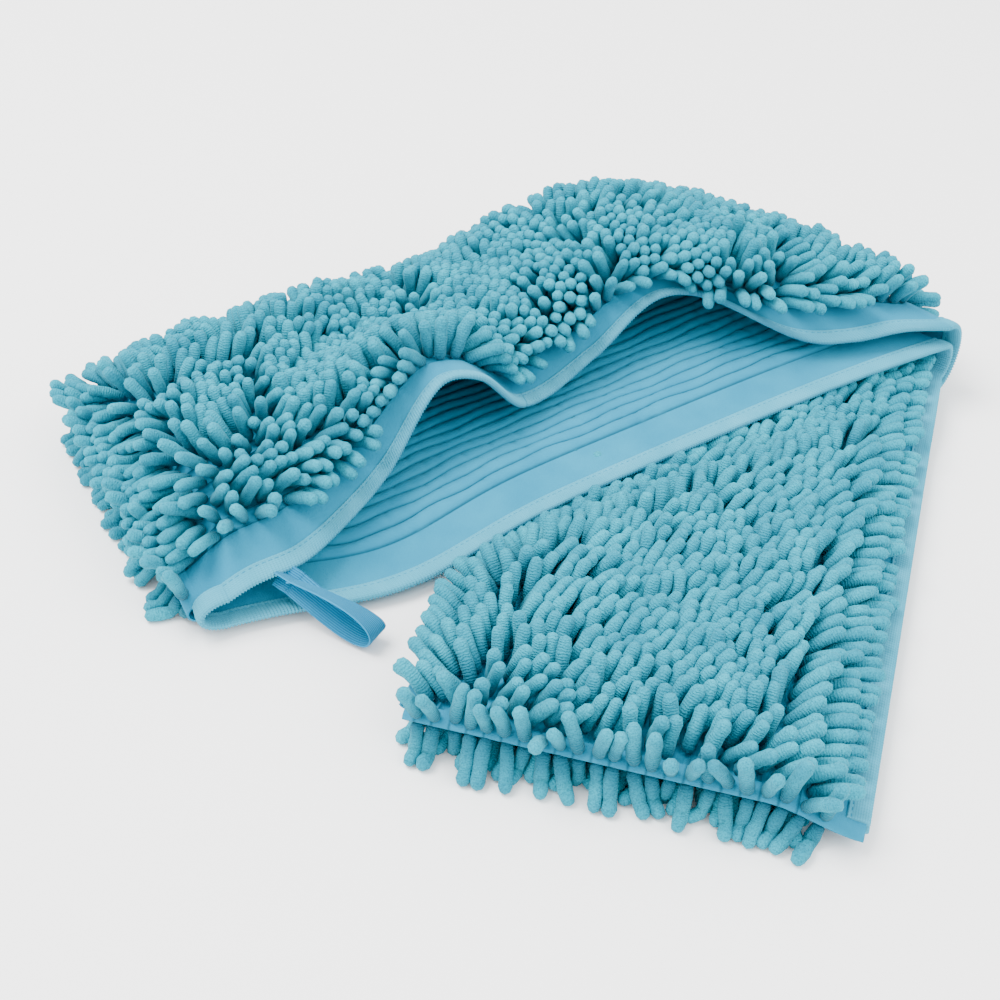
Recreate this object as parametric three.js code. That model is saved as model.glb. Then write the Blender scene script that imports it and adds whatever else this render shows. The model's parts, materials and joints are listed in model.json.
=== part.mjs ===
// Chenille wash mitt: a long double-sided sleeve of noodle chenille, sewn shut at both short ends and
// along one long edge, open along the other long edge, lying folded over itself on the diagonal.
// The rear section lies over the front section. Millimetres, +Z up, X along the rear section's mouth.

import * as THREE from "three";

// ---------------------------------------------------------------- driving dimensions
const WIDTH = 200; // mouth edge to closed edge, laid flat
const REAR_LENGTH = 433; // sewn end to fold, measured along the mouth
const FRONT_LENGTH = 345; // fold to the other sewn end, measured along the mouth
const FOLD_SLANT = THREE.MathUtils.degToRad(22.5); // the fold line leans this far off square
const FLAT_Z = 14; // lower cloth over the noodles that it lies on
const CLIMB = 24; // how far the lower cloth climbs over the front section
const LIP_Z = 6; // the plain edge of the mouth has no noodles under it and droops to this height
const LIP_CLIMB = 29;
const DROOP_RUN = 42; // the droop reaches this far from the edge of the mouth
const CLIMB_RUN = 90; // how far past the front section's closed edge the climb begins

const CLOTH = 1; // backing cloth
const PILE = 16; // standing noodles over the cloth
const PILE_FLARE = 13; // how far the noodles fan out past a sewn edge
const BINDING_WIDTH = 9.5;
const BINDING = 2.4; // thickness of the folded binding
const HEM_WIDTH = 18; // plain strip between the binding and the noodles
const SEAM_WIDTH = 9; // plain strip along a sewn end or edge
const STITCH = 0.6;
const GAP = 0.4; // clearance between neighbouring pieces
const FOLD_GAP = 4; // both sections stop this far short of the fold line
const PRESS_GAP = 1.5; // between the noodles of the two sections where they press on each other

const LIP_START = 100; // the part of the upper panel that lifts to open the mouth, along X
const LIP_END = 300;
const LIP_BACK = 186; // it stops this far from its edge, short of the closed seam

const LOOP_LENGTH = 48;
const LOOP_BULGE = 17; // opening across the hanging loop
const WEBBING_WIDTH = 13;
const WEBBING = 1.2;
const LOOP_JOINED = 6; // the two ends of the webbing lie together this far
const LOOP_POINTS = 24;
const LOOP_ROOT = new THREE.Vector3(44, -2.6, 20.5);
const LOOP_TIP = new THREE.Vector3(66, -38, 9.5);
const LOOP_ROLL = THREE.MathUtils.degToRad(-85); // its width leans this far off upright

// ---------------------------------------------------------------- materials
function fabric(colour) {
  return new THREE.MeshStandardMaterial({ color: colour, roughness: 0.95, metalness: 0 });
}

const MATERIALS = {
  noodle: fabric(0x57b9cc),
  cloth: fabric(0x4aaed2),
  binding: fabric(0x86cde3),
  webbing: fabric(0x5fb8e0),
  thread: fabric(0x9ad6e8),
};

// ---------------------------------------------------------------- small helpers
const { lerp, smoothstep, clamp } = THREE.MathUtils;
const SLANT = Math.tan(FOLD_SLANT);
const HEM_START = BINDING_WIDTH + GAP;
const PANEL_START = HEM_START + HEM_WIDTH + 3 * GAP;
const PANEL_END = WIDTH - GAP;

const bell = (x, centre, spread) => Math.exp(-(((x - centre) / spread) ** 2));

// Value at x of a smooth curve through [x, value] knots.
function curveThrough(knots, x) {
  const last = knots.length - 1;
  let i = 0;
  while (i < last - 1 && x > knots[i + 1][0]) i += 1;
  const slope = (k) => {
    const before = knots[Math.max(k - 1, 0)];
    const after = knots[Math.min(k + 1, last)];
    return (after[1] - before[1]) / (after[0] - before[0]);
  };
  const [x0, y0] = knots[i];
  const [x1, y1] = knots[i + 1];
  const h = x1 - x0;
  const t = clamp((x - x0) / h, 0, 1);
  const level = (2 * t ** 3 - 3 * t ** 2 + 1) * y0 + (3 * t ** 2 - 2 * t ** 3) * y1;
  return level + h * ((t ** 3 - 2 * t ** 2 + t) * slope(i) + (t ** 3 - t ** 2) * slope(i + 1));
}

// ---------------------------------------------------------------- where the cloth lies
// Upper panel of the rear section: at each x along the mouth, the [y, z] of the cloth at the lip, at
// one, two and three quarters of the width, and at the closed edge. The lip rises in two waves.
const DRAPE = [
  { x: 0, across: [[1, 13], [50, 23], [100, 25], [150, 25], [203, 20]] },
  { x: 24, across: [[1, 23], [48, 41], [100, 44], [152, 42], [203, 22]] },
  { x: 52, across: [[6, 23], [52, 43], [103, 46], [155, 45], [204, 23]] },
  { x: 80, across: [[21, 25], [62, 46], [108, 44], [157, 47], [205, 24]] },
  { x: 111, across: [[38, 34], [75, 51], [112, 42], [158, 50], [205, 24]] },
  { x: 151, across: [[61, 60], [92, 59], [125, 42], [165, 49], [205, 25]] },
  { x: 172, across: [[56, 61], [90, 61], [125, 44], [165, 47], [205, 25]] },
  { x: 200, across: [[60, 33], [95, 50], [130, 47], [168, 46], [205, 26]] },
  { x: 250, across: [[72, 43], [100, 56], [135, 53], [170, 49], [205, 30]] },
  { x: 290, across: [[78, 64], [105, 67], [138, 62], [172, 60], [205, 36]] },
  { x: 315, across: [[66, 65], [98, 73], [135, 71], [170, 70], [205, 42]] },
  { x: 352, across: [[28, 48], [68, 70], [115, 74], [162, 75], [204, 45]] },
  { x: 380, across: [[17, 45], [60, 64], [110, 71], [158, 70], [203, 48]] },
  { x: 410, across: [[10, 47], [57, 58], [108, 62], [156, 60], [202, 49]] },
  { x: 433, across: [[0, 47], [50, 53], [100, 55], [150, 53], [200, 49]] },
];
const QUARTERS = [0, 1, 2, 3, 4];

// Where the fold line stands, along X, at a distance y behind the mouth.
const foldX = (y) => REAR_LENGTH - SLANT * y;

// Upper panel of the rear section at a true x and a distance t from its lip.
function upperCloth(x, t) {
  const along = (x * REAR_LENGTH) / foldX(t);
  const knots = (axis) =>
    QUARTERS.map((q) => [q * 0.25 * WIDTH, curveThrough(DRAPE.map((s) => [s.x, s.across[q][axis]]), along)]);
  return { x, y: curveThrough(knots(0), t), z: curveThrough(knots(1), t) };
}

// Lower panel of the rear section: its lip bows out beside the front section, and it lies on the table
// at the sewn end and climbs over the front section towards the fold.
const CLOSED_Y = 202;
const lowerLipY = (x) => -16 * bell(x, 95, 55);
const lowerY = (x, t) => lerp(lowerLipY(x), CLOSED_Y, t / WIDTH);

function lowerClothZ(x, y) {
  const run = foldX(y) - frontEdgeX(y) + CLIMB_RUN;
  const climbed = 1 - smoothstep((foldX(y) - x) / run, 0, 1);
  return lerp(LIP_Z + LIP_CLIMB * climbed, FLAT_Z + CLIMB * climbed, smoothstep(y, 0, DROOP_RUN));
}

// The front section's closed edge, where it runs under the rear section.
const frontEdgeX = (y) => REAR_LENGTH - WIDTH * Math.SQRT2 + y;

// Height of the front section: free beside the rear section, pressed under it.
const FREE_TOP = 38;
const PRESSED_TOP = 0.72; // share of the height of the rear section's lower cloth
const FRONT_LEVELS = {
  lower: { free: 16, edge: 6, pressed: 0.34 },
  upper: { free: 20.5, edge: 10, pressed: 0.62 },
};
const pressedAt = (y) => smoothstep(y, -48, -20);
const pressedTop = (x, y) => PRESSED_TOP * lowerClothZ(Math.min(x, foldX(y)), clamp(y, -20, CLOSED_Y));
const frontTop = (x, y) => lerp(FREE_TOP, pressedTop(x, y), pressedAt(y));

function frontClothZ(side, x, y) {
  const { free, edge, pressed } = FRONT_LEVELS[side];
  const fromMouth = (REAR_LENGTH - x) * Math.sin(2 * FOLD_SLANT) + y * Math.cos(2 * FOLD_SLANT);
  const lying = lerp(edge, free, smoothstep(fromMouth, 0, DROOP_RUN));
  return lerp(lying, pressed * pressedTop(x, y), pressedAt(y));
}

// A point of the front section in plan: s along it from the fold, t from its mouth edge.
function frontPlan(s, t) {
  const c = Math.cos(2 * FOLD_SLANT);
  const k = Math.sin(2 * FOLD_SLANT);
  return { x: REAR_LENGTH - s * c - t * k, y: -s * k + t * c };
}

// ---------------------------------------------------------------- draped solids
// A closed solid with nu by nv cells: u and v run over the sheet from 0 to 1, w is 0 below, 1 above.
// Both faces split their cells along the same diagonals, so stacked layers never cut each other.
function drape(name, material, [nu, nv], place) {
  const points = [];
  for (const w of [0, 1]) {
    for (let j = 0; j <= nv; j += 1) {
      for (let i = 0; i <= nu; i += 1) {
        const { x, y, z } = place(i / nu, j / nv, w);
        points.push(x, y, z);
      }
    }
  }
  const index = (i, j, w) => w * (nu + 1) * (nv + 1) + j * (nu + 1) + i;
  const faces = [];
  const quad = (a, b, c, d) => faces.push(a, b, c, a, c, d);
  for (let j = 0; j < nv; j += 1) {
    for (let i = 0; i < nu; i += 1) {
      quad(index(i, j, 1), index(i + 1, j, 1), index(i + 1, j + 1, 1), index(i, j + 1, 1));
      faces.push(index(i, j, 0), index(i + 1, j + 1, 0), index(i + 1, j, 0));
      faces.push(index(i, j, 0), index(i, j + 1, 0), index(i + 1, j + 1, 0));
    }
  }
  for (let i = 0; i < nu; i += 1) {
    quad(index(i, 0, 0), index(i + 1, 0, 0), index(i + 1, 0, 1), index(i, 0, 1));
    quad(index(i + 1, nv, 0), index(i, nv, 0), index(i, nv, 1), index(i + 1, nv, 1));
  }
  for (let j = 0; j < nv; j += 1) {
    quad(index(0, j + 1, 0), index(0, j, 0), index(0, j, 1), index(0, j + 1, 1));
    quad(index(nu, j, 0), index(nu, j + 1, 0), index(nu, j + 1, 1), index(nu, j, 1));
  }
  const geometry = new THREE.BufferGeometry();
  geometry.setAttribute("position", new THREE.Float32BufferAttribute(points, 3));
  geometry.setIndex(faces);
  geometry.computeVertexNormals();
  const mesh = new THREE.Mesh(geometry, MATERIALS[material]);
  mesh.name = name;
  return mesh;
}

// A strip of the rear section's upper side, from x0 to x1 and t0 to t1, base to top over the cloth.
function upperStrip(name, material, cells, { x0, x1, t0, t1, base, top, fan = 0 }) {
  return drape(name, material, cells, (u, v, w) => {
    const t = lerp(t0, t1, v);
    const p = upperCloth(lerp(x0, x1 ?? foldX(t) - FOLD_GAP, u), t);
    if (u === 0 && x0 < SEAM_WIDTH) p.x -= fan * w;
    if (v === 1 && t1 > LIP_BACK) p.y += fan * w;
    return { ...p, z: p.z + lerp(base, top, w) };
  });
}

// A strip of the rear section's lower side, from x0 to the fold and t0 to t1.
function lowerStrip(name, material, cells, { x0, t0, t1, foot, top, fan = 0 }) {
  return drape(name, material, cells, (u, v, w) => {
    const t = lerp(t0, t1, v);
    const x = lerp(x0, foldX(t) - FOLD_GAP, u);
    const y = lowerY(x, t);
    const z = w === 1 ? top(x, y) : foot(x, y);
    return { x: u === 0 ? x - fan * (1 - w) : x, y: v === 1 ? y + fan * (1 - w) : y, z };
  });
}

// A strip of the front section, from s0 (or the fold) to s1 and t0 to t1.
function frontStrip(name, material, cells, { s0, s1, t0, t1, foot, top, fan = () => 0 }) {
  return drape(name, material, cells, (u, v, w) => {
    const t = lerp(t1, t0, v);
    const s = lerp(s0 ?? FOLD_GAP - SLANT * t, s1, u);
    const seat = frontPlan(s, t);
    const spread = fan(w) * (1 - pressedAt(seat.y));
    const { x, y } = frontPlan(u === 1 ? s + spread : s, v === 0 ? t + spread : t);
    return { x, y, z: w === 1 ? top(seat.x, seat.y) : foot(seat.x, seat.y) };
  });
}

// Heights of a layer that sits from a to b over a cloth surface.
const layer = (surface, a, b) => ({ foot: (x, y) => surface(x, y) + a, top: (x, y) => surface(x, y) + b });

const CLOTH_LAYER = [0, CLOTH];
const BINDING_LAYER = [(CLOTH - BINDING) / 2, (CLOTH + BINDING) / 2];
const STITCH_LAYER = [BINDING_LAYER[1] + 2 * GAP, BINDING_LAYER[1] + 2 * GAP + STITCH];

// The plain strips along a mouth edge, outermost first: name, material, from, to and layer.
const MOUTH_STRIPS = [
  ["binding", "binding", 0, BINDING_WIDTH, BINDING_LAYER],
  ["binding_stitch", "thread", BINDING_WIDTH - 2.5 * STITCH, BINDING_WIDTH - STITCH, STITCH_LAYER],
  ["hem_band", "cloth", HEM_START, HEM_START + HEM_WIDTH, CLOTH_LAYER],
];
const CORNER_X = 12; // the rear section's bindings start here, past the rounded corner of the mouth

// ---------------------------------------------------------------- rear section
function rearLowerSide() {
  const strips = MOUTH_STRIPS.map(([part, material, t0, t1, [a, b]]) =>
    lowerStrip(`rear_lower_${part}`, material, [16, 1], { x0: CORNER_X, t0, t1, ...layer(lowerClothZ, a, b) }),
  );
  const overFront = (x, y) => smoothstep(x - frontEdgeX(y), -40, 0);
  const span = { x0: 1, t0: PANEL_START, t1: PANEL_END - SEAM_WIDTH };
  return [
    ...strips,
    lowerStrip("rear_lower_panel", "cloth", [16, 6], { ...span, ...layer(lowerClothZ, ...CLOTH_LAYER) }),
    lowerStrip("rear_lower_pile", "noodle", [16, 6], {
      ...span,
      foot: (x, y) => (frontTop(x, y) + PRESS_GAP) * overFront(x, y),
      top: (x, y) => lowerClothZ(x, y) - GAP,
      fan: PILE_FLARE,
    }),
  ];
}

// The upper side from x0 to x1, named by its place.
function rearUpperSide(place, { x0, x1, t1, cells }) {
  const across = { x0: Math.max(x0, CORNER_X), x1 };
  const strips = MOUTH_STRIPS.map(([part, material, from, to, [base, top]]) =>
    upperStrip(`${place}_${part}`, material, [cells, 1], { ...across, t0: from, t1: to, base, top }),
  );
  const panel = { x0, x1, t0: PANEL_START, t1 };
  return [
    ...strips,
    upperStrip(`${place}_panel`, "cloth", [cells, 6], { ...panel, base: 0, top: CLOTH }),
    upperStrip(`${place}_pile`, "noodle", [cells, 6], {
      ...panel,
      base: CLOTH + GAP,
      top: CLOTH + GAP + PILE,
      fan: PILE_FLARE,
    }),
  ];
}

// The seams that close the rear section: from its lower cloth up to its upper cloth.
function rearSeams() {
  const end = drape("rear_end_seam", "cloth", [1, 6], (u, v, w) => {
    const t = lerp(BINDING_WIDTH + 2, WIDTH - SEAM_WIDTH - 2, v);
    const x = lerp(-SEAM_WIDTH, 1 - GAP, u);
    const upper = upperCloth(1, t);
    return { x, y: upper.y, z: w === 1 ? upper.z + CLOTH : lowerClothZ(0, upper.y) };
  });
  const closed = drape("rear_closed_seam", "cloth", [16, 1], (u, v, w) => {
    const t = lerp(PANEL_END - SEAM_WIDTH + GAP, WIDTH, v);
    const x = lerp(-SEAM_WIDTH, foldX(t) - FOLD_GAP, u);
    const y = lowerY(x, t);
    return { x, y, z: lowerClothZ(x, y) + (w === 1 ? 0.5 * SEAM_WIDTH : 0) };
  });
  return [end, closed];
}

// The binding's rounded turn between the lower and the upper lip, at the sewn end of the mouth.
function mouthCorner() {
  const low = lowerClothZ(CORNER_X, 0) + CLOTH / 2;
  const high = upperCloth(CORNER_X, 0).z + CLOTH / 2;
  return drape("mouth_corner_binding", "binding", [8, 1], (u, v, w) => {
    const turn = Math.PI * u;
    const bulge = lerp(-BINDING, BINDING, w) / 2;
    const radius = (high - low) / 2;
    const x = CORNER_X - GAP - (CORNER_X + bulge) * Math.sin(turn);
    const lipY = lerp(lowerLipY(CORNER_X), upperCloth(CORNER_X, 0).y, u);
    return { x, y: lipY + BINDING_WIDTH * v, z: low + radius - (radius + bulge) * Math.cos(turn) };
  });
}

// ---------------------------------------------------------------- front section
function frontSection() {
  const parts = [];
  for (const side of ["lower", "upper"]) {
    const cloth = (x, y) => frontClothZ(side, x, y);
    for (const [part, material, from, to, [a, b]] of MOUTH_STRIPS) {
      const below = side === "lower" && part === "binding_stitch";
      const heights = below ? layer(cloth, CLOTH - b, CLOTH - a) : layer(cloth, a, b);
      const span = { s1: FRONT_LENGTH - SEAM_WIDTH, t0: from, t1: to };
      parts.push(frontStrip(`front_${side}_${part}`, material, [14, 1], { ...span, ...heights }));
    }
    const panel = { s1: FRONT_LENGTH - SEAM_WIDTH, t0: PANEL_START, t1: PANEL_END - SEAM_WIDTH };
    const above = { foot: (x, y) => cloth(x, y) + CLOTH + GAP, top: frontTop };
    const under = { foot: () => 0, top: (x, y) => cloth(x, y) - GAP };
    parts.push(
      frontStrip(`front_${side}_panel`, "cloth", [14, 6], { ...panel, ...layer(cloth, ...CLOTH_LAYER) }),
      frontStrip(`front_${side}_pile`, "noodle", [14, 6], {
        ...panel,
        ...(side === "upper" ? above : under),
        fan: (w) => PILE_FLARE * (side === "upper" ? w : 1 - w),
      }),
    );
  }
  const joined = {
    foot: (x, y) => frontClothZ("lower", x, y),
    top: (x, y) => frontClothZ("upper", x, y) + CLOTH,
  };
  const endStart = FRONT_LENGTH - SEAM_WIDTH + GAP;
  return [
    ...parts,
    frontStrip("front_end_seam", "cloth", [1, 8], { s0: endStart, s1: FRONT_LENGTH, t0: 0, t1: WIDTH, ...joined }),
    frontStrip("front_closed_seam", "cloth", [14, 1], {
      s1: FRONT_LENGTH - SEAM_WIDTH,
      t0: PANEL_END - SEAM_WIDTH + GAP,
      t1: WIDTH,
      ...joined,
    }),
  ];
}

// ---------------------------------------------------------------- the fold
// A half round wrap about the fold line, from t0 to t1 across the mitt. It rises from the lower to the
// upper height and reaches out by reach; inner and outer are its two faces.
function foldWrap(name, material, [nu, nv], { t0, t1, low, high, reach, inner, outer, from = 0, to = 1 }) {
  const outX = Math.cos(FOLD_SLANT);
  const outY = Math.sin(FOLD_SLANT);
  return drape(name, material, [nu, nv], (u, v, w) => {
    const y = lerp(t0, t1, v);
    const turn = Math.PI * lerp(from, to, u);
    const thickness = lerp(outer, inner, w);
    const foot = low(y);
    const radius = (high(y) - foot) / 2;
    const out = (reach + thickness) * Math.sin(turn) - FOLD_GAP / 2;
    const z = foot + radius - (radius + thickness) * Math.cos(turn);
    return { x: foldX(y) + outX * out, y: y + outY * out, z: Math.max(z, 0) };
  });
}

function fold() {
  const midCloth = (z) => z + CLOTH / 2;
  const outer = {
    low: (y) => midCloth(frontClothZ("lower", foldX(y), y)),
    high: (y) => midCloth(upperCloth(foldX(y) - FOLD_GAP, y).z),
    reach: 17,
  };
  const inner = {
    low: (y) => midCloth(frontClothZ("upper", foldX(y), y)),
    high: (y) => midCloth(lowerClothZ(foldX(y), y)),
    reach: 8,
  };
  const sheet = { inner: -CLOTH / 2, outer: CLOTH / 2 };
  const tape = { inner: -BINDING / 2, outer: BINDING / 2 };
  const pileFaces = { inner: CLOTH / 2 + 2 * GAP, outer: CLOTH / 2 + GAP + PILE };
  const edge = { t0: 0, t1: BINDING_WIDTH };
  const wide = { t0: HEM_START, t1: PANEL_END - SEAM_WIDTH };
  return [
    foldWrap("fold_outer_panel", "cloth", [10, 6], { ...outer, ...sheet, ...wide }),
    foldWrap("fold_inner_panel", "cloth", [8, 6], { ...inner, ...sheet, ...wide }),
    foldWrap("fold_outer_binding", "binding", [10, 1], { ...outer, ...tape, ...edge }),
    foldWrap("fold_inner_binding", "binding", [8, 1], { ...inner, ...tape, ...edge }),
    foldWrap("fold_outer_pile", "noodle", [8, 6], {
      ...outer,
      ...pileFaces,
      t0: PANEL_START,
      t1: PANEL_END - 2 * SEAM_WIDTH,
      from: 0.12,
      to: 0.96,
    }),
  ];
}

// ---------------------------------------------------------------- hanging loop
// A strip of webbing folded into a teardrop and sewn under the upper binding by its two ends.
function hangingLoop() {
  const teardrop = (start, end, half, root) =>
    Array.from({ length: LOOP_POINTS }, (_, i) => {
      const a = (2 * Math.PI * i) / LOOP_POINTS;
      const spread = lerp(root, half, Math.sin(a / 2) ** 2);
      return new THREE.Vector2(lerp(start, end, (1 - Math.cos(a)) / 2), -spread * Math.sin(a));
    });
  const shape = new THREE.Shape(teardrop(0, LOOP_LENGTH, LOOP_BULGE / 2, 2 * WEBBING));
  const hole = teardrop(LOOP_JOINED, LOOP_LENGTH - WEBBING, LOOP_BULGE / 2 - WEBBING, WEBBING);
  shape.holes.push(new THREE.Path(hole));
  const geometry = new THREE.ExtrudeGeometry(shape, { depth: WEBBING_WIDTH, bevelEnabled: false });
  geometry.translate(0, 0, -WEBBING_WIDTH / 2);

  const along = LOOP_TIP.clone().sub(LOOP_ROOT).normalize();
  const level = new THREE.Vector3(0, 0, 1).cross(along).normalize();
  const width = along.clone().cross(level).applyAxisAngle(along, LOOP_ROLL);
  const opening = width.clone().cross(along);
  const mesh = new THREE.Mesh(geometry, MATERIALS.webbing);
  mesh.name = "hanging_loop";
  mesh.applyMatrix4(new THREE.Matrix4().makeBasis(along, opening, width));
  mesh.position.copy(LOOP_ROOT);
  return mesh;
}

// The bar of stitches that holds both ends of the webbing under the binding.
function loopBarTack() {
  const place = upperCloth(LOOP_ROOT.x, BINDING_WIDTH / 2);
  const geometry = new THREE.BoxGeometry(WEBBING_WIDTH, 3, 2 * WEBBING);
  const mesh = new THREE.Mesh(geometry, MATERIALS.thread);
  mesh.name = "loop_bar_tack";
  mesh.position.set(place.x, place.y, place.z + BINDING_LAYER[0] - WEBBING - 2 * GAP - 1);
  return mesh;
}

// ---------------------------------------------------------------- assembly
const rearSection = new THREE.Group();
rearSection.add(
  ...rearLowerSide(),
  ...rearUpperSide("rear_left", { x0: 1, x1: LIP_START - GAP, t1: PANEL_END - SEAM_WIDTH, cells: 6 }),
  ...rearUpperSide("rear_right", { x0: LIP_END + GAP, t1: PANEL_END - SEAM_WIDTH, cells: 7 }),
  ...rearSeams(),
  mouthCorner(),
  loopBarTack(),
  hangingLoop(),
);

const mouthLip = new THREE.Group();
mouthLip.add(...rearUpperSide("lip", { x0: LIP_START, x1: LIP_END, t1: LIP_BACK, cells: 12 }));

const mitt = new THREE.Group();
mitt.add(rearSection, mouthLip, ...frontSection(), ...fold());

// The origin is under the middle of the mitt, on the table.
const extent = new THREE.Box3().setFromObject(mitt);
const middle = extent.getCenter(new THREE.Vector3());
mitt.position.set(-middle.x, -middle.y, -extent.min.z);

const part = new THREE.Group();
part.add(mitt);

export default part;
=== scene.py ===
"""Chenille wash mitt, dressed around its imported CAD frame.

The mitt is a long double-sided sleeve of noodle chenille, sewn shut at both ends and along one long
edge, open along the other, lying folded over itself on the diagonal. Surfaces are worked out in
millimetres in the mitt's own plan (X along the rear section's mouth, Y to its closed edge, +Z up) and
moved to the frame, in metres, when a mesh is written. The noodles are laid out in their sewn rows and
then relaxed together under gravity until they rest on each other, on the cloth and on the table.
"""

import json
import logging
import math
from dataclasses import dataclass, field
from enum import Enum
from typing import Callable

import bpy
import numpy as np
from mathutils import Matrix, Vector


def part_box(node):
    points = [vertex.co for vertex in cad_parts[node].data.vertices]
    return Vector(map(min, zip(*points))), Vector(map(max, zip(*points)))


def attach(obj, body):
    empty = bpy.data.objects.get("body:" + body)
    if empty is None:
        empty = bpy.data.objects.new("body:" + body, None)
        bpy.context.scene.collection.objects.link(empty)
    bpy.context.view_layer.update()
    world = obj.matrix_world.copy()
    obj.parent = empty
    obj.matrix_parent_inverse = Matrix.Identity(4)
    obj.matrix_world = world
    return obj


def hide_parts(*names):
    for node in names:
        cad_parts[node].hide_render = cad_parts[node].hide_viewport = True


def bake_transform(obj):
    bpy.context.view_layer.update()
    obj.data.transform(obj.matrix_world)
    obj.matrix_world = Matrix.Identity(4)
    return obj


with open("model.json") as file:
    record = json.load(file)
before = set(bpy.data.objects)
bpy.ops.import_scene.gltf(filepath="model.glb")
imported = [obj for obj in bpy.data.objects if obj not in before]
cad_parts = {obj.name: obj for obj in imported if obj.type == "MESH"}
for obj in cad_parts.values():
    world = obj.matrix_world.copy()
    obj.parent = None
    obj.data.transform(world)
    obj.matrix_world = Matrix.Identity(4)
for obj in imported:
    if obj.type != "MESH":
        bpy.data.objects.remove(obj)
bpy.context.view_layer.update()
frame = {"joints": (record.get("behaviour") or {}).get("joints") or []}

logging.basicConfig(level=logging.INFO, format="%(message)s")
log = logging.getLogger("wash_mitt")

Array = np.ndarray
MM = 0.001
SEED = 11


# ---------------------------------------------------------------- small numeric helpers
def lerp(a: Array, b: Array, t: Array) -> Array:
    """Value a share t of the way from a to b."""
    return a + (b - a) * t


def smoothstep(x: Array, low: float, high: float) -> Array:
    """Smooth rise from 0 at low to 1 at high."""
    t = np.clip((np.asarray(x, float) - low) / (high - low), 0.0, 1.0)
    return t * t * (3.0 - 2.0 * t)


def unit(v: Array) -> Array:
    """Vectors scaled to length one."""
    return v / np.maximum(np.linalg.norm(v, axis=-1, keepdims=True), 1e-9)


def curve_through(knots: Array, values: Array, x: Array) -> Array:
    """Smooth curve through knots.

    Args:
        knots: Places of the knots, rising.
        values: Value at each knot, or for each knot an array shaped as x.
        x: Where the curve is read.

    Returns:
        The curve's value at each x.
    """
    knots = np.asarray(knots, float)
    x = np.asarray(x, float)
    values = np.asarray(values, float)
    last = len(knots) - 1
    if values.ndim == 1:
        values = values.reshape((-1,) + (1,) * x.ndim)
    values = np.broadcast_to(values, (last + 1,) + x.shape)
    spans = np.array([knots[min(k + 1, last)] - knots[max(k - 1, 0)] for k in range(last + 1)])
    rises = np.stack([values[min(k + 1, last)] - values[max(k - 1, 0)] for k in range(last + 1)])
    slopes = rises / spans.reshape((-1,) + (1,) * x.ndim)
    i = np.clip(np.searchsorted(knots, x, side="left") - 1, 0, last - 1)

    def pick(table: Array, index: Array) -> Array:
        return np.take_along_axis(table, index[None], 0)[0]

    h = knots[i + 1] - knots[i]
    t = np.clip((x - knots[i]) / h, 0.0, 1.0)
    level = (2 * t**3 - 3 * t**2 + 1) * pick(values, i) + (3 * t**2 - 2 * t**3) * pick(values, i + 1)
    lean = (t**3 - 2 * t**2 + t) * pick(slopes, i) + (t**3 - t**2) * pick(slopes, i + 1)
    return level + h * lean


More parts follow.
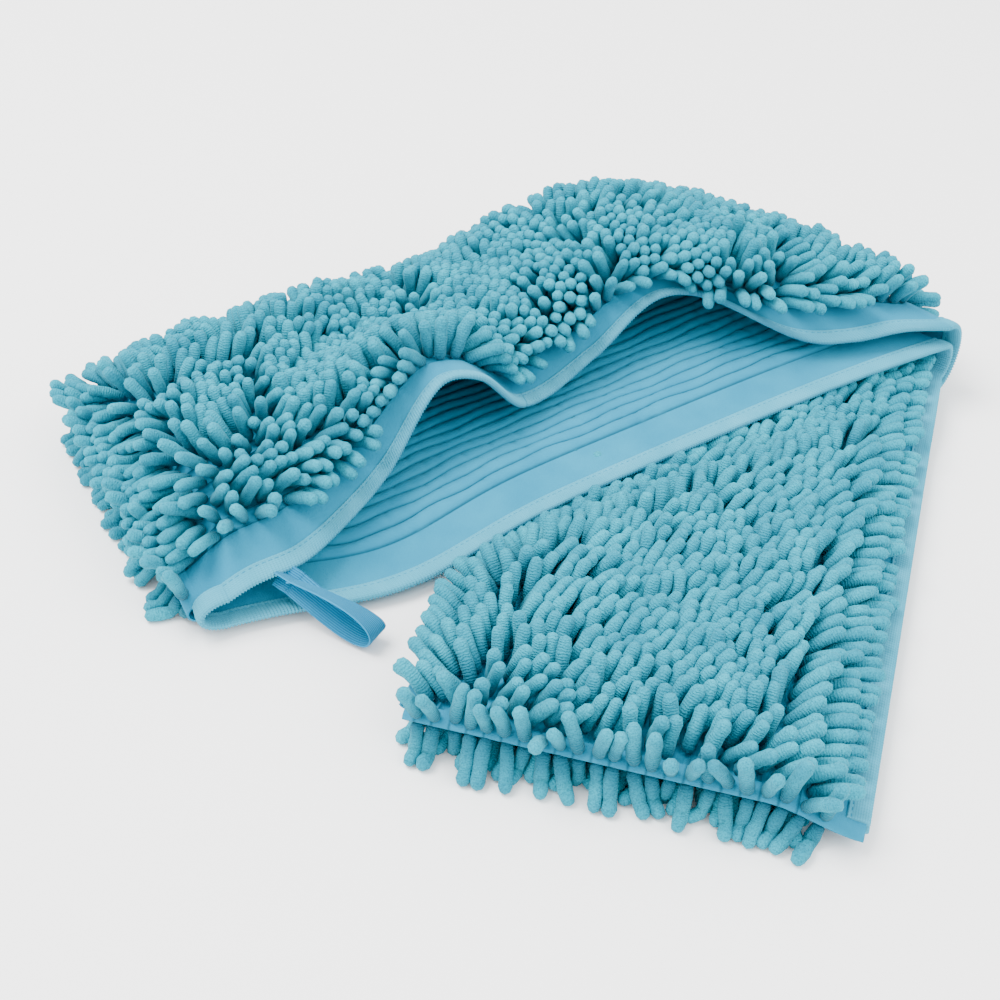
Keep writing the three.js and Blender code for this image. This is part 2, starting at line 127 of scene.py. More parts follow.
# ---------------------------------------------------------------- where the cloth lies
@dataclass(frozen=True)
class Drape:
    """The lie of the folded mitt's four cloth panels, in millimetres."""

    width: float = 200.0
    rear_length: float = 433.0
    front_length: float = 345.0
    fold_slant: float = math.radians(22.5)
    flat_z: float = 14.0
    climb: float = 24.0
    lip_z: float = 6.0
    lip_climb: float = 29.0
    droop_run: float = 42.0
    climb_run: float = 90.0
    closed_y: float = 202.0
    free_top: float = 38.0
    pressed_share: float = 0.72
    cloth: float = 1.0
    hinge_z: float = 28.0
    # Upper rear panel: at each x along the mouth, the [y, z] of the cloth at the lip, at one, two and
    # three quarters of the width, and at the closed edge.
    across_x: tuple = (0, 24, 52, 80, 111, 151, 172, 200, 250, 290, 315, 352, 380, 410, 433)
    across: tuple = (
        ((1, 13), (50, 23), (100, 25), (150, 25), (203, 20)),
        ((1, 23), (48, 41), (100, 44), (152, 42), (203, 22)),
        ((6, 23), (52, 43), (103, 46), (155, 45), (204, 23)),
        ((21, 25), (62, 46), (108, 44), (157, 47), (205, 24)),
        ((38, 34), (75, 51), (112, 42), (158, 50), (205, 24)),
        ((61, 60), (92, 59), (125, 42), (165, 49), (205, 25)),
        ((56, 61), (90, 61), (125, 44), (165, 47), (205, 25)),
        ((60, 33), (95, 50), (130, 47), (168, 46), (205, 26)),
        ((72, 43), (100, 56), (135, 53), (170, 49), (205, 30)),
        ((78, 64), (105, 67), (138, 62), (172, 60), (205, 36)),
        ((66, 65), (98, 73), (135, 71), (170, 70), (205, 42)),
        ((28, 48), (68, 70), (115, 74), (162, 75), (204, 45)),
        ((17, 45), (60, 64), (110, 71), (158, 70), (203, 48)),
        ((10, 47), (57, 58), (108, 62), (156, 60), (202, 49)),
        ((0, 47), (50, 53), (100, 55), (150, 53), (200, 49)),
    )
    front_levels: tuple = ((16.0, 6.0, 0.34), (20.5, 10.0, 0.62))  # free, at the mouth, share when pressed

    @property
    def origin(self) -> Array:
        """The frame's place of the mitt's own zero point, found from the fold's hinge, in metres."""
        hinge = next(joint for joint in frame["joints"] if joint["name"] == "unfold")
        return np.array(hinge["pos_m"]) - np.array([self.rear_length, 0.0, self.hinge_z]) * MM

    def to_frame(self, points: Array) -> Array:
        """Points in the mitt's own millimetres, moved to the frame, in metres."""
        return np.asarray(points, float) * MM + self.origin

    def fold_x(self, y: Array) -> Array:
        """Where the fold line stands along X, at a distance y behind the mouth."""
        return self.rear_length - math.tan(self.fold_slant) * np.asarray(y, float)

    def rear_upper(self, x: Array, t: Array) -> Array:
        """Upper panel of the rear section at x, a distance t from its lip."""
        x, t = np.broadcast_arrays(np.asarray(x, float), np.asarray(t, float))
        along = x * self.rear_length / self.fold_x(t)
        columns = np.array(self.across, float)
        quarters = np.linspace(0.0, self.width, 5)
        y_z = [
            curve_through(
                quarters,
                np.stack([curve_through(self.across_x, columns[:, q, axis], along) for q in range(5)]),
                t,
            )
            for axis in (0, 1)
        ]
        return np.stack([x, y_z[0], y_z[1] + self.cloth / 2], -1)

    def lower_y(self, x: Array, t: Array) -> Array:
        """Y of the rear section's lower panel: its lip bows out beside the front section."""
        lip = -16.0 * np.exp(-(((x - 95.0) / 55.0) ** 2))
        return lerp(lip, self.closed_y, t / self.width)

    def front_edge_x(self, y: Array) -> Array:
        """Where the front section's closed edge runs under the rear section."""
        return self.rear_length - self.width * math.sqrt(2) + y

    def rear_lower_z(self, x: Array, y: Array) -> Array:
        """Height of the rear section's lower cloth."""
        run = self.fold_x(y) - self.front_edge_x(y) + self.climb_run
        climbed = 1.0 - smoothstep((self.fold_x(y) - x) / run, 0.0, 1.0)
        lip = self.lip_z + self.lip_climb * climbed
        return lerp(lip, self.flat_z + self.climb * climbed, smoothstep(y, 0.0, self.droop_run))

    def rear_lower(self, x: Array, t: Array) -> Array:
        """Lower panel of the rear section at x, a distance t from its lip."""
        x, t = np.broadcast_arrays(np.asarray(x, float), np.asarray(t, float))
        y = self.lower_y(x, t)
        return np.stack([x, y, self.rear_lower_z(x, y) + self.cloth / 2], -1)

    def pressed_at(self, y: Array) -> Array:
        """How far the rear section presses on the front section: 0 beside it, 1 under it."""
        return smoothstep(y, -48.0, -20.0)

    def pressed_top(self, x: Array, y: Array) -> Array:
        """Height of the front section's noodles where the rear section lies on them."""
        inside = np.clip(y, -20.0, self.closed_y)
        return self.pressed_share * self.rear_lower_z(np.minimum(x, self.fold_x(y)), inside)

    def front_top(self, x: Array, y: Array) -> Array:
        """Height of the front section's upper noodles."""
        return lerp(self.free_top, self.pressed_top(x, y), self.pressed_at(y))

    def front_z(self, upper: bool, x: Array, y: Array) -> Array:
        """Height of one of the front section's cloths."""
        free, edge, pressed = self.front_levels[int(upper)]
        diagonal = 2 * self.fold_slant
        from_mouth = (self.rear_length - x) * math.sin(diagonal) + y * math.cos(diagonal)
        lying = lerp(edge, free, smoothstep(from_mouth, 0.0, self.droop_run))
        return lerp(lying, pressed * self.pressed_top(x, y), self.pressed_at(y))

    def front(self, upper: bool, s: Array, t: Array) -> Array:
        """A cloth of the front section, s along it from the fold and t from its mouth edge."""
        s, t = np.broadcast_arrays(np.asarray(s, float), np.asarray(t, float))
        c, k = math.cos(2 * self.fold_slant), math.sin(2 * self.fold_slant)
        x = self.rear_length - s * c - t * k
        y = t * c - s * k
        return np.stack([x, y, self.front_z(upper, x, y) + self.cloth / 2], -1)

    def front_plan(self, x: Array, y: Array) -> tuple[Array, Array]:
        """The s and t on the front section under a point of the plan."""
        c, k = math.cos(2 * self.fold_slant), math.sin(2 * self.fold_slant)
        return (self.rear_length - x) * c - y * k, (self.rear_length - x) * k + y * c


DRAPE = Drape()


def wrapped(low: Array, high: Array, outward: Array, reach: float, turn: Array) -> Array:
    """A half round wrap from a low edge to a high edge.

    Args:
        low: Points of the lower edge.
        high: Points of the upper edge.
        outward: Direction in which the wrap bulges.
        reach: How far it bulges.
        turn: Angle round the wrap, 0 at the lower edge and pi at the upper.

    Returns:
        Points on the wrap.
    """
    turn = np.asarray(turn, float)[..., None]
    middle = (low + high) / 2
    return middle - (high - low) / 2 * np.cos(turn) + np.asarray(outward, float) * reach * np.sin(turn)


@dataclass(frozen=True)
class Patch:
    """A stretch of one cloth, read by u from 0 to 1 along it and t in millimetres from its mouth edge."""

    point: Callable[[Array, Array], Array]
    start: Callable[[Array], Array]
    end: Callable[[Array], Array]
    outward: float = 1.0  # 1 where along x across points to the noodles' side, -1 where it points inside

    def at(self, u: Array, t: Array) -> Array:
        """Points of the cloth's middle."""
        u, t = np.broadcast_arrays(np.asarray(u, float), np.asarray(t, float))
        return self.point(lerp(self.start(t), self.end(t), u), t)

    def normal(self, u: Array, t: Array) -> Array:
        """Unit normals on the noodles' side."""
        step_u, step_t = 1e-3, 0.5
        u, t = np.broadcast_arrays(np.asarray(u, float), np.asarray(t, float))
        u0, u1 = np.clip(u - step_u, 0, 1), np.clip(u + step_u, 0, 1)
        t0, t1 = np.clip(t - step_t, 0, DRAPE.width), np.clip(t + step_t, 0, DRAPE.width)
        along = self.at(u1, t) - self.at(u0, t)
        across = self.at(u, t1) - self.at(u, t0)
        return unit(np.cross(along, across)) * self.outward

    def place(self, u: Array, t: Array, height: Array) -> Array:
        """Points at a height over the cloth's middle, towards the noodles. It runs straight on past t = 0."""
        inside = np.maximum(t, 0.0)
        u = np.broadcast_to(u, np.broadcast(u, t).shape)
        edge = self.at(u, inside)
        beyond = edge - self.at(u, inside + 1.0)
        over = self.normal(u, inside) * np.asarray(height, float)[..., None]
        return edge + over + unit(beyond) * np.maximum(-np.asarray(t, float), 0.0)[..., None]

    def length(self, t: float, steps: int = 400) -> float:
        """Length of the cloth along it at t."""
        points = self.at(np.linspace(0, 1, steps), np.full(steps, float(t)))
        return float(np.linalg.norm(np.diff(points, axis=0), axis=1).sum())

    def evenly(self, t: float, distances: Array, steps: int = 500) -> Array:
        """The u at which the given distances along the cloth are reached at t."""
        u = np.linspace(0, 1, steps)
        points = self.at(u, np.full(steps, float(t)))
        run = np.concatenate([[0.0], np.cumsum(np.linalg.norm(np.diff(points, axis=0), axis=1))])
        return np.interp(distances, run, u)


def constant(value: float) -> Callable[[Array], Array]:
    """A limit that is the same at every t."""
    return lambda t: np.full(np.shape(t), float(value))


def fold_line(t: Array) -> Array:
    """The rear section's limit along X at the fold."""
    return DRAPE.fold_x(t)


def front_fold_line(t: Array) -> Array:
    """The front section's limit at the fold."""
    return -math.tan(DRAPE.fold_slant) * np.asarray(t, float)


# ---------------------------------------------------------------- meshes
def deselect_all() -> None:
    """Leaves nothing selected and nothing active."""
    for obj in bpy.context.selected_objects:
        obj.select_set(False)
    bpy.context.view_layer.objects.active = None


def activate(obj: bpy.types.Object) -> None:
    """Selects one object alone and makes it active."""
    deselect_all()
    obj.select_set(True)
    bpy.context.view_layer.objects.active = obj


def apply_modifier(obj: bpy.types.Object, kind: str, **settings: object) -> None:
    """Adds a modifier with its settings and applies it."""
    activate(obj)
    modifier = obj.modifiers.new(kind.title(), kind)
    for key, value in settings.items():
        setattr(modifier, key, value)
    bpy.ops.object.modifier_apply(modifier=modifier.name)


def shade_smooth(obj: bpy.types.Object, degrees: float = 50.0) -> None:
    """Smooth shading, with edges sharper than an angle kept."""
    activate(obj)
    bpy.ops.object.shade_smooth_by_angle(angle=math.radians(degrees))


def grid_piece(name: str, table: Array, mapping: Array) -> bpy.types.Object:
    """A grid laid through a table of points.

    Args:
        name: Name of the piece.
        table: Points in the mitt's millimetres, shaped (columns, rows, 3).
        mapping: Pattern coordinates of each point, shaped (columns, rows, 2).

    Returns:
        The new object, its faces turned to the side where columns cross rows counter-clockwise.
    """
    columns, rows = table.shape[:2]
    deselect_all()
    bpy.ops.mesh.primitive_grid_add(x_subdivisions=columns - 1, y_subdivisions=rows - 1, size=2)
    obj = bpy.context.object
    obj.name = obj.data.name = name
    mesh = obj.data
    flat = np.empty(len(mesh.vertices) * 3)
    mesh.vertices.foreach_get("co", flat)
    flat = flat.reshape(-1, 3)
    i = np.rint((flat[:, 0] + 1) / 2 * (columns - 1)).astype(int)
    j = np.rint((flat[:, 1] + 1) / 2 * (rows - 1)).astype(int)
    mesh.vertices.foreach_set("co", DRAPE.to_frame(table[i, j]).ravel())
    corners = np.empty(len(mesh.loops), int)
    mesh.loops.foreach_get("vertex_index", corners)
    mesh.uv_layers[0].data.foreach_set("uv", mapping[i, j][corners].ravel())
    mesh.update()
    return obj


def flip_faces(obj: bpy.types.Object) -> None:
    """Turns every face of an object round."""
    activate(obj)
    bpy.ops.object.mode_set(mode="EDIT")
    bpy.ops.mesh.select_all(action="SELECT")
    bpy.ops.mesh.flip_normals()
    bpy.ops.object.mode_set(mode="OBJECT")


def close_tube(obj: bpy.types.Object, seam: float = 0.002 * MM) -> None:
    """Closes a grid rolled into a tube: welds its seam, fills both ends and turns its faces out."""
    activate(obj)
    bpy.ops.object.mode_set(mode="EDIT")
    bpy.ops.mesh.select_all(action="SELECT")
    bpy.ops.mesh.remove_doubles(threshold=seam)
    bpy.ops.mesh.fill_holes(sides=0)
    bpy.ops.mesh.normals_make_consistent(inside=False)
    bpy.ops.object.mode_set(mode="OBJECT")


@dataclass(frozen=True)
class Template:
    """A small shape that is modelled once and copied many times into one mesh."""

    points: Array
    faces: tuple

    @staticmethod
    def taken_from(obj: bpy.types.Object) -> "Template":
        """The template held by an object, which is then removed."""
        points = np.array([vertex.co[:] for vertex in obj.data.vertices])
        faces = tuple(tuple(polygon.vertices) for polygon in obj.data.polygons)
        bpy.data.objects.remove(obj)
        return Template(points, faces)


def copies_piece(
    name: str, template: Template, points: Array, mapping: Array, shade: Array
) -> bpy.types.Object:
    """One mesh of many copies of a template.

    Args:
        name: Name of the piece.
        template: The shape that is copied.
        points: Vertices of each copy in the mitt's millimetres, shaped (copies, vertices, 3).
        mapping: Pattern coordinates of each vertex, shaped (copies, vertices, 2).
        shade: One tone from 0 to 1 for each copy.

    Returns:
        The new object.
    """
    copies, count = points.shape[:2]
    faces = [
        tuple(corner + shift for corner in face)
        for shift in range(0, copies * count, count)
        for face in template.faces
    ]
    mesh = bpy.data.meshes.new(name)
    mesh.from_pydata(DRAPE.to_frame(points.reshape(-1, 3)).tolist(), [], faces)
    corners = np.empty(len(mesh.loops), int)
    mesh.loops.foreach_get("vertex_index", corners)
    mesh.uv_layers.new(name="UVMap").data.foreach_set("uv", mapping.reshape(-1, 2)[corners].ravel())
    tone = mesh.attributes.new("tone", "FLOAT", "POINT")
    tone.data.foreach_set("value", np.repeat(shade, count).astype(np.float32))
    mesh.polygons.foreach_set("use_smooth", np.ones(len(mesh.polygons), bool))
    obj = bpy.data.objects.new(name, mesh)
    bpy.context.scene.collection.objects.link(obj)
    return obj


# ---------------------------------------------------------------- shader building
class NodeTree:
    """Adds and joins the nodes of one material or group."""

    def __init__(self, tree: bpy.types.NodeTree) -> None:
        """Starts from an empty tree."""
        self.tree = tree
        tree.nodes.clear()

    def add(self, kind: str, settings: dict | None = None, **inputs: object) -> bpy.types.Node:
        """Adds a node.

        Args:
            kind: Blender's name of the node type.
            settings: Values of the node's own properties.
            **inputs: For each input, by its name with _ for a space, a value or a socket to join.

        Returns:
            The new node.
        """
        node = self.tree.nodes.new(kind)
        for key, value in (settings or {}).items():
            setattr(node, key, value)
        for key, value in inputs.items():
            self.feed(self.socket(node, key), value)
        return node

    @staticmethod
    def socket(node: bpy.types.Node, key: str) -> bpy.types.NodeSocket:
        """The enabled input of a node with this name, or with this number after the letter i."""
        if key[0] == "i" and key[1:].isdigit():
            return node.inputs[int(key[1:])]
        return next(s for s in node.inputs if s.name == key.replace("_", " ") and s.enabled)

    def feed(self, target: bpy.types.NodeSocket, value: object) -> None:
        """Joins a socket to an input, or sets its value."""
        if isinstance(value, bpy.types.NodeSocket):
            self.tree.links.new(value, target)
        else:
            target.default_value = value

    def math(self, operation: str, a: object, b: object = 0.0) -> bpy.types.NodeSocket:
        """Output of a Math node."""
        return self.add("ShaderNodeMath", {"operation": operation}, i0=a, i1=b).outputs[0]

    def mix(self, share: object, a: object, b: object) -> bpy.types.NodeSocket:
        """Output of a colour Mix node."""
        node = self.tree.nodes.new("ShaderNodeMix")
        node.data_type = "RGBA"
        for key, value in zip(("Factor", "A", "B"), (share, a, b)):
            sockets = [s for s in node.inputs if s.name == key and s.enabled]
            self.feed(sockets[0], value)
        return next(s for s in node.outputs if s.enabled)

    def span(self, value: object, low: float, high: float, to: tuple = (0.0, 1.0)) -> bpy.types.NodeSocket:
        """A value's stretch from low to high, mapped onto another stretch."""
        node = self.add("ShaderNodeMapRange", None, Value=value, From_Min=low, From_Max=high)
        self.feed(self.socket(node, "To_Min"), to[0])
        self.feed(self.socket(node, "To_Max"), to[1])
        return node.outputs[0]


def group(name: str, inputs: dict, outputs: dict, build: Callable) -> bpy.types.NodeTree:
    """A shader node group.

    Args:
        name: Name of the group.
        inputs: Socket type and default of each input.
        outputs: Socket type of each output.
        build: Called with the tree's builder and the group's inputs; gives the output sockets.

    Returns:
        The finished group.
    """
    tree = bpy.data.node_groups.new(name, "ShaderNodeTree")
    for key, (kind, default) in inputs.items():
        made = tree.interface.new_socket(key, in_out="INPUT", socket_type=kind)
        if default is not None:
            made.default_value = default
    for key, kind in outputs.items():
        tree.interface.new_socket(key, in_out="OUTPUT", socket_type=kind)
    nodes = NodeTree(tree)
    entry = nodes.add("NodeGroupInput")
    leave = nodes.add("NodeGroupOutput")
    for key, value in build(nodes, {s.name: s for s in entry.outputs if s.name}).items():
        nodes.feed(leave.inputs[key], value)
    return tree


FLOAT, COLOUR, VECTOR = "NodeSocketFloat", "NodeSocketColor", "NodeSocketVector"


def fibre_fuzz() -> bpy.types.NodeTree:
    """Group: short matted fibres, as a height and as a mask of the tips that catch the light."""

    def build(nodes: NodeTree, given: dict) -> dict:
        place, scale = given["Vector"], given["Scale"]
        noise = nodes.add("ShaderNodeTexNoise", None, Vector=place, Scale=scale, Detail=3.0, Roughness=0.65)
        fine = noise.outputs[0]
        coarser = nodes.math("MULTIPLY", scale, 0.8)
        tufts = nodes.add("ShaderNodeTexVoronoi", None, Vector=place, Scale=coarser).outputs[0]
        height = nodes.math("SUBTRACT", fine, nodes.math("MULTIPLY", tufts, 0.35))
        return {"Height": height, "Tips": nodes.span(height, 0.05, 0.55)}

    inputs = {"Vector": (VECTOR, None), "Scale": (FLOAT, 1400.0)}
    return group("fibre_fuzz", inputs, {"Height": FLOAT, "Tips": FLOAT}, build)


def colour_drift() -> bpy.types.NodeTree:
    """Group: a colour that drifts a little between a darker and a lighter tone over the surface."""

    def build(nodes: NodeTree, given: dict) -> dict:
        broad = nodes.add(
            "ShaderNodeTexNoise", None, Vector=given["Vector"], Scale=given["Scale"], Detail=2.0
        ).outputs[0]
        share = nodes.span(broad, 0.3, 0.7)
        return {"Color": nodes.mix(share, given["Dark"], given["Light"])}

    inputs = {
        "Vector": (VECTOR, None),
        "Scale": (FLOAT, 40.0),
        "Dark": (COLOUR, (0.1, 0.1, 0.1, 1.0)),
        "Light": (COLOUR, (0.9, 0.9, 0.9, 1.0)),
    }
    return group("colour_drift", inputs, {"Color": COLOUR}, build)


def ribs() -> bpy.types.NodeTree:
    """Group: parallel ribs across one coordinate, with a wander, as a height from 0 to 1."""

    def build(nodes: NodeTree, given: dict) -> dict:
        noise = nodes.add("ShaderNodeTexNoise", None, Vector=given["Vector"], Scale=given["Wander Scale"])
        wander = nodes.math("MULTIPLY", noise.outputs[0], given["Wander"])
        shifted = nodes.math("ADD", given["Run"], wander)
        turns = nodes.math("MULTIPLY", nodes.math("DIVIDE", shifted, given["Pitch"]), 2 * math.pi)
        wave = nodes.math("SINE", turns)
        return {"Height": nodes.span(wave, -1.0, 1.0)}

    inputs = {
        "Vector": (VECTOR, None),
        "Run": (FLOAT, 0.0),
        "Pitch": (FLOAT, 1.0),
        "Wander": (FLOAT, 0.0),
        "Wander Scale": (FLOAT, 300.0),
    }
    return group("ribs", inputs, {"Height": FLOAT}, build)


GROUPS = {"fuzz": fibre_fuzz(), "drift": colour_drift(), "ribs": ribs()}


@dataclass(frozen=True)
class Finish:
    """What every cloth finish of the mitt shares: two tones, fuzz and sheen."""

    name: str
    slot: str
    dark: tuple
    light: tuple
    roughness: float = 0.9
    sheen: float = 0.35
    fuzz_scale: float = 1500.0
    fuzz_depth: float = 0.25 * MM
    drift_scale: float = 45.0

    def use(self, nodes: NodeTree, name: str, **inputs: object) -> bpy.types.Node:
        """Places a shared group in the material."""
        return nodes.add("ShaderNodeGroup", {"node_tree": GROUPS[name]}, **inputs)

    def relief(self, nodes: NodeTree, place: dict) -> list:
        """Heights in millimetres that the finish adds, each a socket and its depth in metres."""
        return []

    def shade_and_tone(self, nodes: NodeTree, place: dict, colour: object) -> object:
        """Changes to the base colour, none here: the finishes below add painted shade, and the noodles a
        random tone too.
        """
        return colour

    def material(self) -> bpy.types.Material:
        """Builds the material."""
        made = bpy.data.materials.new(self.name)
        made.use_nodes = True
        nodes = NodeTree(made.node_tree)
        coordinates = nodes.add("ShaderNodeTexCoord")
        split = nodes.add("ShaderNodeSeparateXYZ", None, Vector=coordinates.outputs["UV"])
        place = {"object": coordinates.outputs["Object"], "u": split.outputs[0], "v": split.outputs[1]}
        tones = {"Dark": (*self.dark, 1.0), "Light": (*self.light, 1.0)}
        drift = self.use(nodes, "drift", Vector=place["object"], Scale=self.drift_scale, **tones)
        fuzz = self.use(nodes, "fuzz", Vector=place["object"], Scale=self.fuzz_scale)
        place["tips"] = fuzz.outputs["Tips"]
        # the finish's painted shade and random tone go into the base colour
        colour = self.shade_and_tone(nodes, place, drift.outputs[0])
        normal = None
        for height, depth in [*self.relief(nodes, place), (fuzz.outputs["Height"], self.fuzz_depth)]:
            bump = nodes.add("ShaderNodeBump", None, Height=height, Distance=depth, Strength=1.0)
            if normal is not None:
                nodes.feed(bump.inputs["Normal"], normal)
            normal = bump.outputs[0]
        shader = nodes.add(
            "ShaderNodeBsdfPrincipled", None, Base_Color=colour, Roughness=self.roughness, Normal=normal
        )
        shader.inputs["Specular IOR Level"].default_value = 0.2
        shader.inputs["Sheen Weight"].default_value = self.sheen
        shader.inputs["Sheen Roughness"].default_value = 0.45
        shader.inputs["Sheen Tint"].default_value = (0.35, 0.9, 1.0, 1.0)
        output = nodes.add("ShaderNodeOutputMaterial")
        nodes.tree.links.new(shader.outputs[0], output.inputs["Surface"])
        return made


@dataclass(frozen=True)
class NoodleFinish(Finish):
    """Fuzzy chenille: fine rings along each noodle, with painted shade towards its root."""

    ring_pitch: float = 1.25
    ring_depth: float = 0.22 * MM
    ring_wander: float = 2.2
    wander_scale: float = 420.0
    shaded_length: float = 13.2
    # colour of the painted shade at each noodle's root and between its fibres
    root_shade: tuple = (0.0, 0.05, 0.09)

    def relief(self, nodes: NodeTree, place: dict) -> list:
        """Rings across the noodle's length, which is its v in millimetres."""
        stray = {"Wander": self.ring_wander, "Wander_Scale": self.wander_scale}
        along = {"Run": place["v"], "Pitch": self.ring_pitch}
        rings = self.use(nodes, "ribs", Vector=place["object"], **along, **stray)
        return [(rings.outputs[0], self.ring_depth)]

    def shade_and_tone(self, nodes: NodeTree, place: dict, colour: object) -> object:
        """Each noodle a touch lighter or darker at random, with painted shade between its fibres and towards
        its root.
        """
        tone = nodes.add("ShaderNodeAttribute", {"attribute_name": "tone"}).outputs["Fac"]
        varied = nodes.mix(nodes.span(tone, 0.0, 1.0, (0.0, 0.35)), colour, (*self.dark, 1.0))
        painted_shade = (*self.root_shade, 1.0)
        # painted shade between the fibres, away from the tips that catch the light
        between = nodes.mix(nodes.span(place["tips"], 0.0, 0.7, (0.6, 0.0)), varied, painted_shade)
        # painted shade towards the root, over the first shaded_length millimetres of the noodle
        return nodes.mix(nodes.span(place["v"], 0.0, self.shaded_length, (0.85, 0.0)), between, painted_shade)


@dataclass(frozen=True)
class TwillFinish(Finish):
    """Fine backing cloth with a diagonal twill, read from its pattern coordinates in millimetres."""

    pitch: float = 0.9
    depth: float = 0.06 * MM
    first_row: float = 28.5
    row_pitch: float = 7.719

    def relief(self, nodes: NodeTree, place: dict) -> list:
        """Diagonal twill lines."""
        diagonal = nodes.math("ADD", place["u"], place["v"])
        lines = self.use(nodes, "ribs", Vector=place["object"], Run=diagonal, Pitch=self.pitch, Wander=0.5)
        return [(lines.outputs[0], self.depth)]

    def shade_and_tone(self, nodes: NodeTree, place: dict, colour: object) -> object:
        """Painted shade between the threads and in the grooves between the rows of noodle stitches."""
        # painted shade in the grooves between the rows of noodle stitches
        row = nodes.math("DIVIDE", nodes.math("SUBTRACT", place["v"], self.first_row), self.row_pitch)
        beside = nodes.math("ABSOLUTE", nodes.math("SUBTRACT", nodes.math("FRACT", row), 0.5))
        past_hem = nodes.math("GREATER_THAN", row, -0.05)
        groove = nodes.math("MULTIPLY", nodes.span(beside, 0.36, 0.49), past_hem)
        shade = (*(0.35 * channel for channel in self.dark), 1.0)
        shaded_in_grooves = nodes.mix(nodes.math("MULTIPLY", groove, 0.8), colour, shade)
        # painted shade between the threads, away from the fibre tips
        return nodes.mix(nodes.span(place["tips"], 0.0, 0.6, (0.18, 0.0)), shaded_in_grooves, (*self.dark, 1.0))


@dataclass(frozen=True)
class KnitFinish(Finish):
    """Knitted tape: fine lines along the tape between its modelled ribs, with painted shade between the
    lines.
    """

    pitch: float = 1.1
    depth: float = 0.05 * MM
    # how dark the painted shade between the lines is
    valley_shade: float = 0.25

    def lines(self, nodes: NodeTree, place: dict) -> bpy.types.NodeSocket:
        """Height of the lines."""
        stretch = {"Run": place["v"], "Pitch": self.pitch, "Wander": 0.1}
        return self.use(nodes, "ribs", Vector=place["object"], **stretch).outputs[0]

    def relief(self, nodes: NodeTree, place: dict) -> list:
        """Lines along the tape."""
        return [(self.lines(nodes, place), self.depth)]

    def shade_and_tone(self, nodes: NodeTree, place: dict, colour: object) -> object:
        """Painted shade between the lines."""
        # painted shade in the valleys between the lines
        share = nodes.span(self.lines(nodes, place), 0.0, 0.6, (self.valley_shade, 0.0))
        return nodes.mix(share, colour, (*(0.3 * channel for channel in self.dark), 1.0))


FINISHES = {
    "noodle": NoodleFinish(
        "chenille_noodle", "noodle", dark=(0.0, 0.21, 0.30), light=(0.004, 0.35, 0.46), sheen=0.12
    ),
    "backing": TwillFinish(
        "backing_cloth", "cloth", dark=(0.0, 0.19, 0.32), light=(0.004, 0.23, 0.37), sheen=0.08
    ),
    "binding": KnitFinish(
        "knitted_binding",
        "binding",
        dark=(0.03, 0.28, 0.40),
        light=(0.05, 0.33, 0.46),
        fuzz_depth=0.12 * MM,
        sheen=0.1,
    ),
    "webbing": KnitFinish(
        "loop_webbing",
        "webbing",
        dark=(0.0, 0.17, 0.34),
        light=(0.005, 0.22, 0.41),
        pitch=1.083,
        depth=0.15 * MM,
        sheen=0.1,
        valley_shade=0.6,
    ),
    "thread": KnitFinish(
        "sewing_thread",
        "thread",
        dark=(0.0, 0.17, 0.28),
        light=(0.01, 0.21, 0.34),
        fuzz_depth=0.05 * MM,
        sheen=0.1,
    ),
}
MATERIALS = {key: finish.material() for key, finish in FINISHES.items()}


def dress(obj: bpy.types.Object, finish: str) -> bpy.types.Object:
    """Gives a piece its material."""
    obj.data.materials.clear()
    obj.data.materials.append(MATERIALS[finish])
    return obj


# ---------------------------------------------------------------- how pieces move
@dataclass(frozen=True)
class Motion:
    """How a piece follows the bodies: it rides on one body, or, given two, has its transform baked into its
    mesh.
    """

    body: str
    other: str = ""
    start: tuple = (0.0, 0.0, 0.0)
    end: tuple = (0.0, 0.0, 0.0)

    def attach(self, obj: bpy.types.Object) -> None:
        """Fixes the piece to its body, or, where it has two bodies, bakes its transform into its mesh."""
        if self.other:
            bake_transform(obj)
        else:
            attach(obj, self.body)


LIP_MIDDLE = 200.0  # along X, where the lip of the mouth lifts most and the upper side is split in two
MOTIONS = {
    "rear": Motion("rear_section"),
    "front": Motion("front_section"),
    "loop": Motion("hanging_loop"),
    "lip_left": Motion("rear_section", "mouth_lip", (60, 0, 0), (LIP_MIDDLE, 0, 0)),
    "lip_right": Motion("rear_section", "mouth_lip", (350, 0, 0), (LIP_MIDDLE, 0, 0)),
    "fold_outer": Motion("front_section", "rear_section", (0, 0, 11), (0, 0, 46)),
    "fold_inner": Motion("front_section", "rear_section", (0, 0, 18), (0, 0, 34.5)),
}


